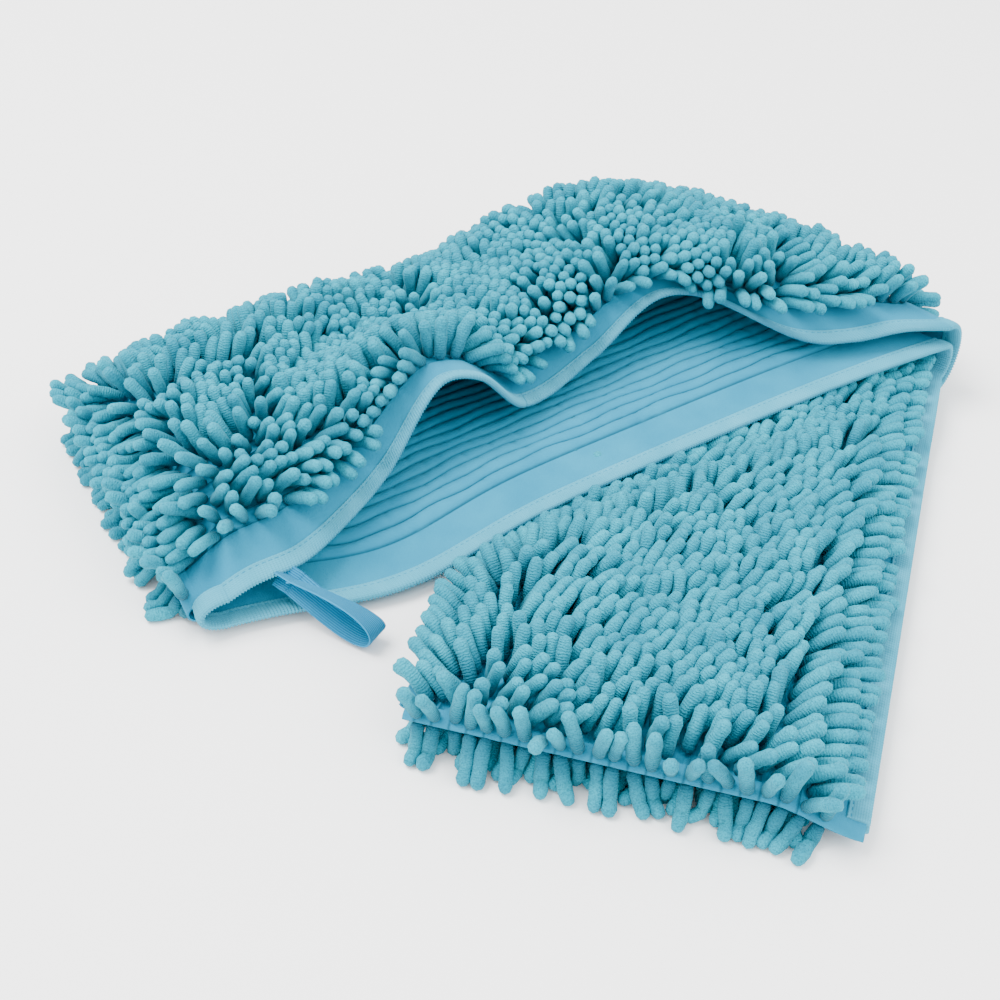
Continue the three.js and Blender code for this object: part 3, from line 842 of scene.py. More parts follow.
# ---------------------------------------------------------------- noodles at rest
@dataclass
class Heights:
    """A map of the rear section's upper cloth: its height over the plan, and how steep it is."""

    step: float = 2.0
    low: tuple = (0.0, -20.0)
    size: tuple = (220, 120)
    table: Array = field(init=False)
    rise: Array = field(init=False)

    def __post_init__(self) -> None:
        """Reads the cloth column by column."""
        xs = self.low[0] + self.step * np.arange(self.size[0])
        ys = self.low[1] + self.step * np.arange(self.size[1])
        self.table = np.full(self.size, -1000.0)
        slant = math.tan(DRAPE.fold_slant)
        for i, x in enumerate(xs):
            widest = min(DRAPE.width, (DRAPE.rear_length - x) / slant)
            if widest > 1:
                cloth = DRAPE.rear_upper(np.full(80, x), np.linspace(0, widest, 80))
                self.table[i] = np.interp(ys, cloth[:, 1], cloth[:, 2], left=-1000.0, right=-1000.0)
        known = np.where(self.table > -999, self.table, np.nan)
        slopes = np.gradient(known, self.step)
        rise = np.sqrt(1 + slopes[0] ** 2 + slopes[1] ** 2)
        self.rise = np.clip(np.nan_to_num(rise, nan=1.0), 1.0, 1.7)

    def over(self, x: Array, y: Array, clear: float) -> Array:
        """Height that keeps a point clear of the cloth, far below everything beside the cloth."""
        i = np.clip(np.rint((x - self.low[0]) / self.step).astype(int), 0, self.size[0] - 1)
        j = np.clip(np.rint((y - self.low[1]) / self.step).astype(int), 0, self.size[1] - 1)
        return self.table[i, j] + clear * self.rise[i, j]


class Bed(Enum):
    """The five fields of noodles, by the cloth that they are sewn to."""

    REAR_UPPER = 0
    REAR_LOWER = 1
    FRONT_UPPER = 2
    FRONT_LOWER = 3
    FOLD_OUTER = 4


@dataclass
class Surroundings:
    """What bounds the noodles of each bed from below and from above."""

    radius: float
    heights: Heights = field(default_factory=Heights)
    reach: float = 14.0  # a noodle this far below a cloth hangs beside it, not through it

    def hold(self, bed: Array, points: Array) -> Array:
        """Points of noodles moved up or down until they are clear of cloth and table."""
        x, y, z = points[..., 0], points[..., 1], points[..., 2].copy()
        r = self.radius
        for kind in Bed:
            mine = bed == kind.value
            if mine.any():
                low, high = self.bounds(kind, x[mine], y[mine], z[mine], r)
                middle = (low + high) / 2
                z[mine] = np.clip(z[mine], np.minimum(low, middle), np.maximum(high, middle))
        return np.stack([x, y, z], -1)

    def bounds(self, kind: Bed, x: Array, y: Array, z: Array, r: float) -> tuple[Array, Array]:
        """Lowest and highest place of a noodle's middle at each point."""
        low, high = np.full(x.shape, r), np.full(x.shape, 1000.0)
        under_rear = (y > DRAPE.lower_y(x, np.zeros_like(x)) - 6) & (x < DRAPE.fold_x(y)) & (x > -2)
        s, t = DRAPE.front_plan(x, y)
        on_front = (t > -2) & (t < DRAPE.width + 3) & (s < DRAPE.front_length - 4)
        on_front &= x < DRAPE.fold_x(y) + 2
        if kind in (Bed.REAR_UPPER, Bed.FOLD_OUTER):
            cloth = self.heights.over(x, y, r + 0.6)
            low = np.where(z > cloth - self.reach, np.maximum(low, cloth), low)
        elif kind is Bed.REAR_LOWER:
            pressing = smoothstep(x - DRAPE.front_edge_x(y), -40.0, 0.0)
            low = np.maximum(low, (DRAPE.front_top(x, y) + 1.0) * pressing + r * (1 - pressing))
            high = np.where(under_rear & (y < DRAPE.closed_y), DRAPE.rear_lower_z(x, y) - 0.8 * r, high)
        elif kind is Bed.FRONT_UPPER:
            cloth = DRAPE.front_z(True, x, y) + r + 0.8
            low = np.where(on_front & (z > cloth - self.reach), np.maximum(low, cloth), low)
            lip = DRAPE.lower_y(x, np.zeros_like(x))
            under_lip = DRAPE.rear_lower_z(x, np.maximum(y, lip)) - r - 0.6
            tucked = lerp(60.0, under_lip, smoothstep(y - lip, -16, -3))
            pressed = lerp(60.0, DRAPE.pressed_top(x, y) - 0.6 * r, smoothstep(y, 6.0, 30.0))
            high = np.where(x < DRAPE.fold_x(y) + 6, np.minimum(tucked, pressed), high)
        else:
            high = np.where(on_front, DRAPE.front_z(False, x, y) - 0.8 * r, high)
        return low, high


def close_pairs(points: Array, owner: Array, reach: float) -> tuple[Array, Array]:
    """Pairs of points of different owners that are nearer to each other than reach.

    Args:
        points: Places, shaped (points, 3).
        owner: Which noodle each point belongs to.
        reach: Greatest distance of a pair.

    Returns:
        The two members of each pair, as two index arrays.
    """
    cell = np.floor(points / reach).astype(np.int64)
    cell -= cell.min(0) - 1
    span = cell.max(0) + 2
    key = (cell[:, 0] * span[1] + cell[:, 1]) * span[2] + cell[:, 2]
    order = np.argsort(key, kind="stable")
    ranked = key[order]
    firsts, seconds = [], []
    steps = [(0, 0, 0)] + [
        (i, j, k) for i in (-1, 0, 1) for j in (-1, 0, 1) for k in (-1, 0, 1) if (i, j, k) > (0, 0, 0)
    ]
    for i, j, k in steps:
        wanted = key + (i * span[1] + j) * span[2] + k
        start, stop = np.searchsorted(ranked, wanted, "left"), np.searchsorted(ranked, wanted, "right")
        count = stop - start
        first = np.repeat(np.arange(len(points)), count)
        shift = np.repeat(start - np.concatenate([[0], np.cumsum(count)[:-1]]), count)
        second = order[np.arange(count.sum()) + shift]
        if (i, j, k) == (0, 0, 0):
            first, second = first[first < second], second[first < second]
        firsts.append(first)
        seconds.append(second)
    a, b = np.concatenate(firsts), np.concatenate(seconds)
    near = (owner[a] != owner[b]) & (((points[a] - points[b]) ** 2).sum(1) < reach**2)
    return a[near], b[near]


@dataclass
class NoodleRest:
    """Lets sewn noodles sink under gravity until they rest on each other, the cloth and the table."""

    radius: float = 3.2
    length: float = 22.0
    links: int = 4
    steps: int = 90
    gravity: float = 0.16
    stiffness: float = 0.22
    root_stiffness: float = 0.2
    packing: float = 0.97  # share of two radii that touching noodles keep
    pairs_every: int = 5

    @property
    def link(self) -> float:
        """Length of one link of a noodle, whose last point is the middle of its round tip."""
        return (self.length - self.radius) / self.links

    def keep_lengths(self, nodes: Array, lengths: Array) -> None:
        """Restores each link's length, from the root out."""
        for k in range(1, self.links + 1):
            direction = unit(nodes[:, k] - nodes[:, k - 1])
            nodes[:, k] = nodes[:, k - 1] + direction * lengths[:, None]

    def straighten(self, nodes: Array, aims: Array, lengths: Array) -> None:
        """Pulls each link towards the line of the one before it, and the first towards its aim."""
        for k in range(1, self.links + 1):
            line = aims if k == 1 else unit(nodes[:, k - 1] - nodes[:, k - 2])
            share = self.root_stiffness if k == 1 else self.stiffness
            nodes[:, k] += share * (nodes[:, k - 1] + line * lengths[:, None] - nodes[:, k])

    def part(self, nodes: Array, pairs: tuple, sizes: Array) -> None:
        """Moves overlapping noodles apart."""
        flat = nodes[:, 1:].reshape(-1, 3)
        a, b = pairs
        gap = flat[a] - flat[b]
        distance = np.maximum(np.linalg.norm(gap, axis=1), 1e-6)
        wanted = self.packing * (sizes[a] + sizes[b])
        push = (0.5 * np.maximum(wanted - distance, 0.0) / distance)[:, None] * gap
        for axis in range(3):
            flat[:, axis] += 0.5 * np.bincount(a, push[:, axis], len(flat))
            flat[:, axis] -= 0.5 * np.bincount(b, push[:, axis], len(flat))
        nodes[:, 1:] = flat.reshape(nodes[:, 1:].shape)

    def settle(self, roots: Array, aims: Array, bed: Array, scale: Array) -> Array:
        """Relaxes all the noodles together.

        Args:
            roots: Where each noodle is sewn on.
            aims: Direction in which it leaves the cloth.
            bed: Value of the Bed that it belongs to.
            scale: Its length and thickness as a share of the usual.

        Returns:
            The points of each noodle, shaped (noodles, links + 1, 3).
        """
        lengths = self.link * scale
        reach = np.arange(self.links + 1)[:, None] * lengths[:, None, None]
        nodes = roots[:, None] + aims[:, None] * reach
        surroundings = Surroundings(self.radius)
        owner = np.repeat(np.arange(len(roots)), self.links)
        sizes = np.repeat(self.radius * scale, self.links)
        beds = np.repeat(bed[:, None], self.links, axis=1)
        steps = self.steps
        for step in range(steps):
            if step % self.pairs_every == 0:
                pairs = close_pairs(nodes[:, 1:].reshape(-1, 3), owner, 2 * self.radius + 1.5)
            nodes[:, 1:, 2] -= self.gravity
            self.straighten(nodes, aims, lengths)
            self.part(nodes, pairs, sizes)
            nodes[:, 1:] = surroundings.hold(beds, nodes[:, 1:])
            self.keep_lengths(nodes, lengths)
        return nodes


@dataclass(frozen=True)
class Rows:
    """How noodles are sewn to one patch: in rows along it, and how they lean."""

    bed: Bed
    patch: Patch
    first: float = 32.0
    last: float = 187.5
    pitch: float = 7.5
    spacing: float = 7.8
    fans: tuple = (0.0, 0.0, 0.6, 0.6)  # at the start, the end, the mouth side and the closed side
    lean: tuple = (0.0, 0.0, 0.0)
    swirl: float = 0.3
    fan_reach: float = 26.0

    def roots(self) -> tuple[Array, Array]:
        """The u and t of every noodle, in staggered rows."""
        count = round((self.last - self.first) / self.pitch) + 1
        us, ts = [], []
        for row, t in enumerate(np.linspace(self.first, self.last, count)):
            long = self.patch.length(t)
            across = max(2, round(long / self.spacing))
            distances = (np.arange(across) + (0.27 if row % 2 else 0.73)) * long / across
            us.append(self.patch.evenly(t, distances))
            ts.append(np.full(across, t))
        return np.concatenate(us), np.concatenate(ts)

    def lay(self, rng: np.random.Generator) -> tuple[Array, Array]:
        """Places and directions of the noodles where they leave the cloth."""
        u, t = self.roots()
        u = np.clip(u + rng.normal(0, 0.5, u.shape) / self.patch.length(float(np.mean(t))), 0, 1)
        t = t + rng.normal(0, 0.5, t.shape)
        normal = self.patch.normal(u, t)
        along = unit(self.patch.at(np.clip(u + 0.01, 0, 1), t) - self.patch.at(np.clip(u - 0.01, 0, 1), t))
        across = unit(self.patch.at(u, t + 1) - self.patch.at(u, t - 1))
        long = self.patch.length(float(np.mean(t)))
        near = [u * long, (1 - u) * long, t - self.first, self.last - t]
        sides = [-along, along, -across, across]
        aim = normal + np.array(self.lean)
        for distance, side, amount in zip(near, sides, self.fans):
            aim = aim + side * (amount * (1 - smoothstep(distance, 0, self.fan_reach)))[:, None]
        roots = self.patch.at(u, t) + normal * 0.5
        aim = aim + self.swirl * swirls(roots) + rng.normal(0, 0.14, aim.shape)
        return roots, unit(aim)


@dataclass(frozen=True)
class EndRow:
    """One row of noodles along the wrap that closes a section's end."""

    bed: Bed
    patch: Patch
    u: float
    first: float = 8.0
    last: float = 190.0
    spacing: float = 7.8
    lean: tuple = (0.0, 0.0, 0.0)

    def lay(self, rng: np.random.Generator) -> tuple[Array, Array]:
        """Places and directions of the noodles where they leave the wrap."""
        count = round((self.last - self.first) / self.spacing)
        t = self.first + (np.arange(count) + 0.5) * self.spacing + rng.normal(0, 0.5, count)
        u = np.full(count, self.u) + rng.normal(0, 0.02, count)
        normal = self.patch.normal(u, t)
        roots = self.patch.at(u, t) + normal * 0.5
        return roots, unit(normal + np.array(self.lean) + rng.normal(0, 0.24, normal.shape))


def swirls(points: Array) -> Array:
    """Slow sideways whorls in the way the noodles lean, a few centimetres across."""
    x, y = points[:, 0] / 21.0, points[:, 1] / 19.0
    turn = 2.1 * np.sin(0.9 * x + 0.5 * y + 0.6)
    turn = turn + 1.7 * np.sin(0.7 * y - 0.4 * x + 2.0)
    turn = turn + 1.3 * np.sin(1.7 * x - y)
    return np.stack([np.cos(turn), np.sin(turn), np.zeros_like(turn)], -1)


@dataclass
class NoodleShape:
    """The noodle that all the fields copy: a round worm, narrow at its root, with a round tip."""

    sides: int = 8
    heights: tuple = (0.0, 2.6, 6.6, 10.6, 14.6, 18.6, 20.9, 22.0)
    girths: tuple = (0.7, 0.95, 1.0, 1.0, 1.0, 1.0, 0.72, 0.05)
    lump: float = 0.065
    lump_pitch: float = 7.0

    def template(self) -> Template:
        """Models it by extruding a disc ring by ring and merging the last ring into the tip."""
        deselect_all()
        bpy.ops.mesh.primitive_circle_add(vertices=self.sides, radius=self.girths[0], fill_type="NGON")
        obj = bpy.context.object
        bpy.ops.object.mode_set(mode="EDIT")
        bpy.ops.mesh.select_all(action="SELECT")
        for k in range(1, len(self.heights)):
            rise = self.heights[k] - self.heights[k - 1]
            grow = self.girths[k] / self.girths[k - 1]
            bpy.ops.mesh.extrude_region_move(TRANSFORM_OT_translate={"value": (0, 0, rise)})
            bpy.ops.transform.resize(value=(grow, grow, 1))
        bpy.ops.mesh.merge(type="CENTER")
        bpy.ops.mesh.select_all(action="SELECT")
        bpy.ops.mesh.normals_make_consistent(inside=False)
        bpy.ops.object.mode_set(mode="OBJECT")
        return Template.taken_from(obj)

    def bend(
        self, template: Template, nodes: Array, scale: Array, radius: float, rng: np.random.Generator
    ) -> Array:
        """Copies of the template bent along each noodle's points.

        Args:
            template: The straight noodle.
            nodes: Points of each noodle, shaped (noodles, points, 3).
            scale: Size of each noodle as a share of the usual.
            radius: The usual radius.
            rng: Source of the lumps' phases.

        Returns:
            Vertices shaped (noodles, vertices, 3).
        """
        links = nodes.shape[1] - 1
        height = template.points[:, 2]
        tip = self.heights[-1] - radius
        share = np.minimum(height / tip, 1.0) * links
        i = np.minimum(share.astype(int), links - 1)
        f = (share - i)[None, :, None]
        before, after = nodes[:, np.maximum(i - 1, 0)], nodes[:, np.minimum(i + 2, links)]
        a, b = nodes[:, i], nodes[:, i + 1]
        m0, m1 = (b - before) / 2, (after - a) / 2
        ends = (2 * f**3 - 3 * f**2 + 1) * a + (3 * f**2 - 2 * f**3) * b
        spine = ends + (f**3 - 2 * f**2 + f) * m0 + (f**3 - f**2) * m1
        slopes = (3 * f**2 - 4 * f + 1) * m0 + (3 * f**2 - 2 * f) * m1
        tangent = unit((6 * f**2 - 6 * f) * (a - b) + slopes)
        spine = spine + tangent * np.maximum(height - tip, 0.0)[None, :, None] * scale[:, None, None]
        chord = unit(nodes[:, -1] - nodes[:, 0])
        side = unit(np.cross(chord, unit(rng.normal(size=chord.shape))))[:, None]
        first = unit(side - tangent * (side * tangent).sum(-1, keepdims=True))
        second = np.cross(tangent, first)
        phase = rng.uniform(0, 2 * math.pi, len(nodes))[:, None]
        lumps = 1 + self.lump * np.sin(2 * math.pi * height[None] / self.lump_pitch + phase)
        girth = (radius * scale)[:, None] * lumps
        return (
            spine
            + first * (template.points[:, 0] * girth)[..., None]
            + second * (template.points[:, 1] * girth)[..., None]
        )


@dataclass
class Noodles:
    """Every noodle of the mitt: rows laid on each bed, settled together, then copied into pieces."""

    seed: int = SEED
    rest: NoodleRest = field(default_factory=NoodleRest)
    shape: NoodleShape = field(default_factory=NoodleShape)

    def build(self, rows: list[Rows]) -> None:
        """Lays and settles the noodles of all rows."""
        rng = np.random.default_rng(self.seed)
        laid = [row.lay(rng) for row in rows]
        self.bed = np.concatenate([np.full(len(r), row.bed.value) for row, (r, _) in zip(rows, laid)])
        roots = np.concatenate([r for r, _ in laid])
        aims = np.concatenate([a for _, a in laid])
        self.scale = rng.uniform(0.93, 1.06, len(roots))
        self.nodes = self.rest.settle(roots, aims, self.bed, self.scale)
        self.template = self.shape.template()
        log.info("settled %d noodles of %d faces", len(roots), len(self.template.faces))

    def piece(self, name: str, bed: Bed, x_range: tuple = (-1e4, 1e4)) -> bpy.types.Object:
        """One piece of the noodles of a bed that are sewn on between two places along X."""
        root_x = self.nodes[:, 0, 0]
        mine = (self.bed == bed.value) & (root_x >= x_range[0]) & (root_x < x_range[1])
        rng = np.random.default_rng(self.seed + bed.value)
        scale = self.scale[mine]
        points = self.shape.bend(self.template, self.nodes[mine], scale, self.rest.radius, rng)
        around = np.arctan2(self.template.points[:, 1], self.template.points[:, 0]) / (2 * math.pi) + 0.5
        mapping = np.stack([around * 20.0, self.template.points[:, 2]], -1)
        mapping = np.broadcast_to(mapping, (len(scale), *mapping.shape))
        tones = rng.uniform(0, 1, len(scale))
        return dress(copies_piece(name, self.template, points, mapping, tones), "noodle")


# ---------------------------------------------------------------- cloth, tape and thread on a patch
@dataclass(frozen=True)
class Cloth:
    """One cut of backing cloth laid over a patch, with the rows of its noodle stitches drawn up in it."""

    name: str
    patch: Patch
    motion: str
    replaces: tuple
    t_from: float = 4.0
    t_to: float = 190.6
    cell: float = 3.0
    ridged: bool = True
    rows: tuple = (28.5, 190.6, 7.9)  # first, last and pitch of the drawn-up rows
    row_height: float = 2.2
    held: str = "laid"

    def lines(self) -> Array:
        """The t of each line of the grid, closer together beside each groove."""
        if not self.ridged:
            count = max(3, round((self.t_to - self.t_from) / self.cell))
            return np.linspace(self.t_from, self.t_to, count)
        first, last, pitch = self.rows
        plain = np.linspace(self.t_from, first, 9)[:-1]
        count = round((last - first) / pitch)
        shares = np.array([0.0, 0.1, 0.26, 0.5, 0.74, 0.9])
        starts = first + np.arange(count) * (last - first) / count
        ribbed = (starts[:, None] + shares[None] * (last - first) / count).ravel()
        return np.unique([*plain, *ribbed, last, self.t_to])

    def relief(self, run: Array, t: Array) -> Array:
        """Height of the drawn-up rows: plump between narrow grooves, broken into short lengths."""
        first, last, pitch = self.rows
        count = round((last - first) / pitch)
        place = (t - first) / (last - first) * count
        row = np.floor(np.clip(place, 0, count - 1e-6))
        across = np.minimum(np.abs(2 * (place - row) - 1), 1.0)
        plump = 1 - across**2.6
        beat = run / 9.0 + 0.37 * row + 0.6 * np.sin(row * 2.4 + run / 31.0)
        pinch = np.abs((beat % 1.0) * 2 - 1) ** 8
        return np.where(t >= first, self.row_height * plump * (1 - 0.4 * pinch), 0.0)

    def wander(self, run: Array, t: Array) -> Array:
        """How far the rows stray sideways along the cloth."""
        first, last, _ = self.rows
        inside = smoothstep(t, first, first + 6) * (1 - smoothstep(t, last - 4, last))
        return inside * (0.8 * np.sin(run / 11.0 + t / 9.0) + 0.5 * np.sin(run / 5.3 - t / 4.0))

    def build(self) -> bpy.types.Object:
        middle = (self.t_from + self.t_to) / 2
        columns = max(8, round(self.patch.length(middle) / self.cell))
        u, t = np.meshgrid(np.linspace(0, 1, columns + 1), self.lines(), indexing="ij")
        run = u * self.patch.length(middle)
        height = np.zeros_like(t)
        strayed = t
        if self.ridged:
            height = -self.relief(run, t)
            strayed = t + self.wander(run, t)
        table = self.patch.place(u, strayed, height)
        obj = grid_piece(self.name, table, np.stack([run, t], -1))
        if self.patch.outward < 0:
            flip_faces(obj)
        apply_modifier(obj, "SOLIDIFY", thickness=DRAPE.cloth * MM, offset=0.0)
        shade_smooth(obj)
        dress(obj, "backing")
        MOTIONS[self.motion].attach(obj)
        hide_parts(*self.replaces)
        return obj


@dataclass(frozen=True)
class Binding:
    """Ribbed tape folded over the edge of a cloth: a rounded body with a stitched groove along it."""

    name: str
    patch: Patch
    motion: str
    replaces: tuple
    width: float = 9.5
    thick: float = 3.3
    rib_pitch: float = 1.6
    rib_depth: float = 0.27
    samples: int = 4
    groove: float = 7.7

    def profile(self) -> Array:
        """The tape's section as [t, height over the cloth's middle, ribbed share], once round."""
        h = self.thick / 2
        g = self.groove
        upper = [
            (self.width, 0.35, 0.0),
            (self.width - 0.15, h - 0.45, 0.4),
            (g + 0.75, h - 0.3, 0.8),
            (g, h - 0.62, 0.1),
            (g - 0.75, h - 0.22, 0.8),
            (5.2, h - 0.02, 1.0),
            (3.0, h + 0.05, 1.0),
            (1.2, h - 0.05, 1.0),
            (0.1, h - 0.5, 1.0),
            (-0.35, h - 1.0, 1.0),
        ]
        lower = [(t, -height, share) for t, height, share in reversed(upper)]
        return np.array([*upper, *lower, upper[0]])

    def build(self) -> bpy.types.Object:
        """Sweeps the section along the edge, closes its ends and dresses it."""
        long = self.patch.length(0.5 * self.width)
        count = max(6, round(long / self.rib_pitch * self.samples))
        distances = np.linspace(0, long, count + 1)
        u = self.patch.evenly(0.5 * self.width, distances)
        section = self.profile()
        wave = np.cos(2 * math.pi * distances / self.rib_pitch) * self.rib_depth
        t = np.broadcast_to(section[:, 0], (len(u), len(section)))
        bulge = wave[:, None] * section[:, 2]
        height = section[:, 1] + np.sign(section[:, 1]) * bulge
        table = self.patch.place(np.repeat(u[:, None], len(section), 1), t - bulge * (t < 1.0), height)
        around = np.concatenate([[0], np.cumsum(np.hypot(*np.diff(section[:, :2], axis=0).T))])
        mapping = np.stack(np.broadcast_arrays(distances[:, None], around[None]), -1)
        obj = grid_piece(self.name, table, mapping)
        close_tube(obj)
        shade_smooth(obj, 70)
        dress(obj, "binding")
        MOTIONS[self.motion].attach(obj)
        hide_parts(*self.replaces)
        log.info("%s: tape %.0f mm long", self.name, long)
        return obj


def thread_ball(size: tuple, segments: int, rings: int) -> Template:
    """One stitch of thread: a ball stretched to a size along X, Y and Z."""
    deselect_all()
    bpy.ops.mesh.primitive_uv_sphere_add(segments=segments, ring_count=rings, radius=0.5)
    bpy.ops.transform.resize(value=size)
    bpy.ops.object.transform_apply(location=False, rotation=False, scale=True)
    return Template.taken_from(bpy.context.object)


@dataclass(frozen=True)
class Stitching:
    """A line of topstitches, sunk in the groove of a binding, on both of its faces."""

    name: str
    patch: Patch
    motion: str
    replaces: tuple
    t: float = 7.7
    height: float = 0.95
    pitch: float = 3.4
    length: float = 2.7
    thick: float = 0.75

    def build(self) -> bpy.types.Object:
        """Copies the stitch along the groove."""
        template = thread_ball((self.thick, self.thick, self.length), 6, 4)
        long = self.patch.length(self.t)
        count = max(1, int(long / self.pitch))
        distances = (np.arange(count) + 0.5) * long / count
        u = np.tile(self.patch.evenly(self.t, distances), 2)
        side = np.repeat([1.0, -1.0], count)
        t = np.full(2 * count, self.t)
        centre = self.patch.place(u, t, side * self.height)
        normal = self.patch.normal(u, t)
        along = unit(self.patch.at(np.clip(u + 2e-3, 0, 1), t) - self.patch.at(np.clip(u - 2e-3, 0, 1), t))
        across = np.cross(normal, along)
        x, y, z = (template.points[None, :, axis, None] for axis in range(3))
        points = centre[:, None] + along[:, None] * z + across[:, None] * x + normal[:, None] * y
        mapping = np.broadcast_to(template.points[:, [0, 2]], (2 * count, len(template.points), 2))
        obj = copies_piece(self.name, template, points, mapping, np.full(2 * count, 0.5))
        dress(obj, "thread")
        MOTIONS[self.motion].attach(obj)
        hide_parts(*self.replaces)
        return obj


# ---------------------------------------------------------------- patches of the mitt
END_X = 1.0  # the rear section's panels start here, at its sewn end
PANEL_END = 190.6  # every panel's t at its closed edge
FRONT_END = 336.0  # the front section's panels end here along s
CORNER_X = 12.0  # the open mouth starts here
END_REACH = 7.0  # how far the end seams bulge
CORNER_REACH = 14.0
OUTER_FOLD_REACH = 17.0
INNER_FOLD_REACH = 8.0
SEAM_REACH = 9.0  # how far the closed seams bulge
SEAM_ROUND = math.pi * SEAM_REACH * 0.8  # and their length round the edge
OUTER_LAYER = 1.8  # the rear seam's outer layer bulges this much further than its inner one
TUCKED_EDGE = 8.0  # each layer runs this far in beside the other panel
TUCKED_GAP = np.array([0.0, 0.0, 1.3])
LEFT, BACK = np.array([-1.0, 0.0, 0.0]), np.array([0.0, 1.0, 0.0])
FOLD_OUT = np.array([math.cos(DRAPE.fold_slant), math.sin(DRAPE.fold_slant), 0.0])
FRONT_OUT = np.array([-math.cos(2 * DRAPE.fold_slant), -math.sin(2 * DRAPE.fold_slant), 0.0])
FRONT_BACK = np.array([-math.sin(2 * DRAPE.fold_slant), math.cos(2 * DRAPE.fold_slant), 0.0])


def front_patch(upper: bool) -> Patch:
    """The patch of the front section's upper or lower cloth."""
    outward = -1.0 if upper else 1.0
    return Patch(lambda s, t: DRAPE.front(upper, s, t), front_fold_line, constant(FRONT_END), outward)


def between(edge: Callable, outward: Array, reach: float, outside: float = 1.0) -> Patch:
    """A wrap from a lower to an upper edge as a patch: it runs round the wrap and t runs along the edge.

    Args:
        edge: Gives the lower and the upper edge's points at t.
        outward: Direction in which the wrap bulges.
        reach: How far it bulges.
        outside: The patch's outward, which says on which side its noodles stand.

    Returns:
        The patch, read by u round the wrap.
    """

    def point(turn: Array, t: Array) -> Array:
        low, high = edge(t)
        return wrapped(low, high, outward, reach, turn)

    return Patch(point, constant(0.0), constant(math.pi), outside)


def rear_edges(x: float) -> Callable:
    """The rear section's lower and upper edges at one place along X, for between()."""
    return lambda t: (DRAPE.rear_lower(x, t), DRAPE.rear_upper(x, t))


def front_edges(s: float) -> Callable:
    """The front section's lower and upper edges at one place along it, for between()."""
    return lambda t: (DRAPE.front(False, s, t), DRAPE.front(True, s, t))


def fold_edges(inner: bool) -> Callable:
    """The edges of the fold's inner or outer wrap: the front section's cloth and the rear section's."""

    def edge(t: Array) -> tuple[Array, Array]:
        low = DRAPE.front(inner, front_fold_line(t), t)
        x = DRAPE.fold_x(t)
        if inner:
            high = np.stack([x, np.asarray(t, float), DRAPE.rear_lower_z(x, t) + DRAPE.cloth / 2], -1)
        else:
            high = DRAPE.rear_upper(x, t)
        return low, high

    return edge


def along_edge(
    lower: Callable, upper: Callable, outward: Array, reach: float, start: float, end: float
) -> Patch:
    """A wrap along a long edge as a patch that runs along it, with t in millimetres round the wrap.

    Args:
        lower: Gives the lower edge's points along it.
        upper: Gives the upper edge's points along it.
        outward: Direction in which the wrap bulges.
        reach: How far it bulges.
        start: Where it starts along the edge.
        end: Where it ends.

    Returns:
        The patch.
    """
    round_length = math.pi * reach * 0.8

    def point(along: Array, t: Array) -> Array:
        turn = math.pi * np.clip(np.asarray(t, float) / round_length, 0, 1)
        return wrapped(lower(along), upper(along), outward, reach, turn)

    return Patch(point, constant(start), constant(end))


def rear_closed(outer: bool, start: float, end: float) -> Patch:
    """One layer of the rear section's closed seam: the outer is the upper panel's, the inner the lower's."""
    low_t, low_gap = (PANEL_END - TUCKED_EDGE, TUCKED_GAP) if outer else (PANEL_END, 0.0)
    high_t, high_gap = (PANEL_END, 0.0) if outer else (PANEL_END - TUCKED_EDGE, TUCKED_GAP)
    return along_edge(
        lambda x: DRAPE.rear_lower(x, low_t) + low_gap,
        lambda x: DRAPE.rear_upper(x, high_t) - high_gap,
        BACK,
        SEAM_REACH + (OUTER_LAYER if outer else 0.0),
        start,
        end,
    )


REAR_END = float(DRAPE.fold_x(PANEL_END))
PATCHES = {
    "rear_upper": Patch(DRAPE.rear_upper, constant(END_X), fold_line),
    "rear_upper_left": Patch(DRAPE.rear_upper, constant(END_X), constant(LIP_MIDDLE)),
    "rear_upper_right": Patch(DRAPE.rear_upper, constant(LIP_MIDDLE), fold_line),
    "rear_upper_left_edge": Patch(DRAPE.rear_upper, constant(CORNER_X), constant(LIP_MIDDLE)),
    "rear_lower": Patch(DRAPE.rear_lower, constant(END_X), fold_line, -1.0),
    "rear_lower_edge": Patch(DRAPE.rear_lower, constant(CORNER_X), fold_line, -1.0),
    "rear_end": between(rear_edges(END_X), LEFT, END_REACH),
    "mouth_corner": between(rear_edges(CORNER_X), LEFT, CORNER_REACH),
    "rear_closed": rear_closed(False, END_X, REAR_END),
    "rear_closed_left": rear_closed(True, END_X, LIP_MIDDLE),
    "rear_closed_right": rear_closed(True, LIP_MIDDLE, REAR_END),
    "front_upper": front_patch(True),
    "front_lower": front_patch(False),
    "front_end": between(front_edges(FRONT_END), FRONT_OUT, END_REACH),
    "front_closed": along_edge(
        lambda s: DRAPE.front(False, s, PANEL_END),
        lambda s: DRAPE.front(True, s, PANEL_END),
        FRONT_BACK,
        SEAM_REACH,
        float(front_fold_line(PANEL_END)),
        FRONT_END,
    ),
    "fold_outer": between(fold_edges(False), FOLD_OUT, OUTER_FOLD_REACH, -1.0),
    "fold_inner": between(fold_edges(True), FOLD_OUT, INNER_FOLD_REACH),
}


# ---------------------------------------------------------------- sub-assemblies
def strip(name: str, patch: str, motion: str, node: str, across: tuple, cell: float = 3.0) -> None:
    """A plain strip of cloth along a seam.

    Args:
        name: Name of the piece.
        patch: The patch that it lies on.
        motion: How it moves.
        node: The CAD node that it stands for.
        across: The t at its two edges.
        cell: Size of its grid.
    """
    Cloth(
        name, PATCHES[patch], motion, (node,), t_from=across[0], t_to=across[1], ridged=False, cell=cell
    ).build()


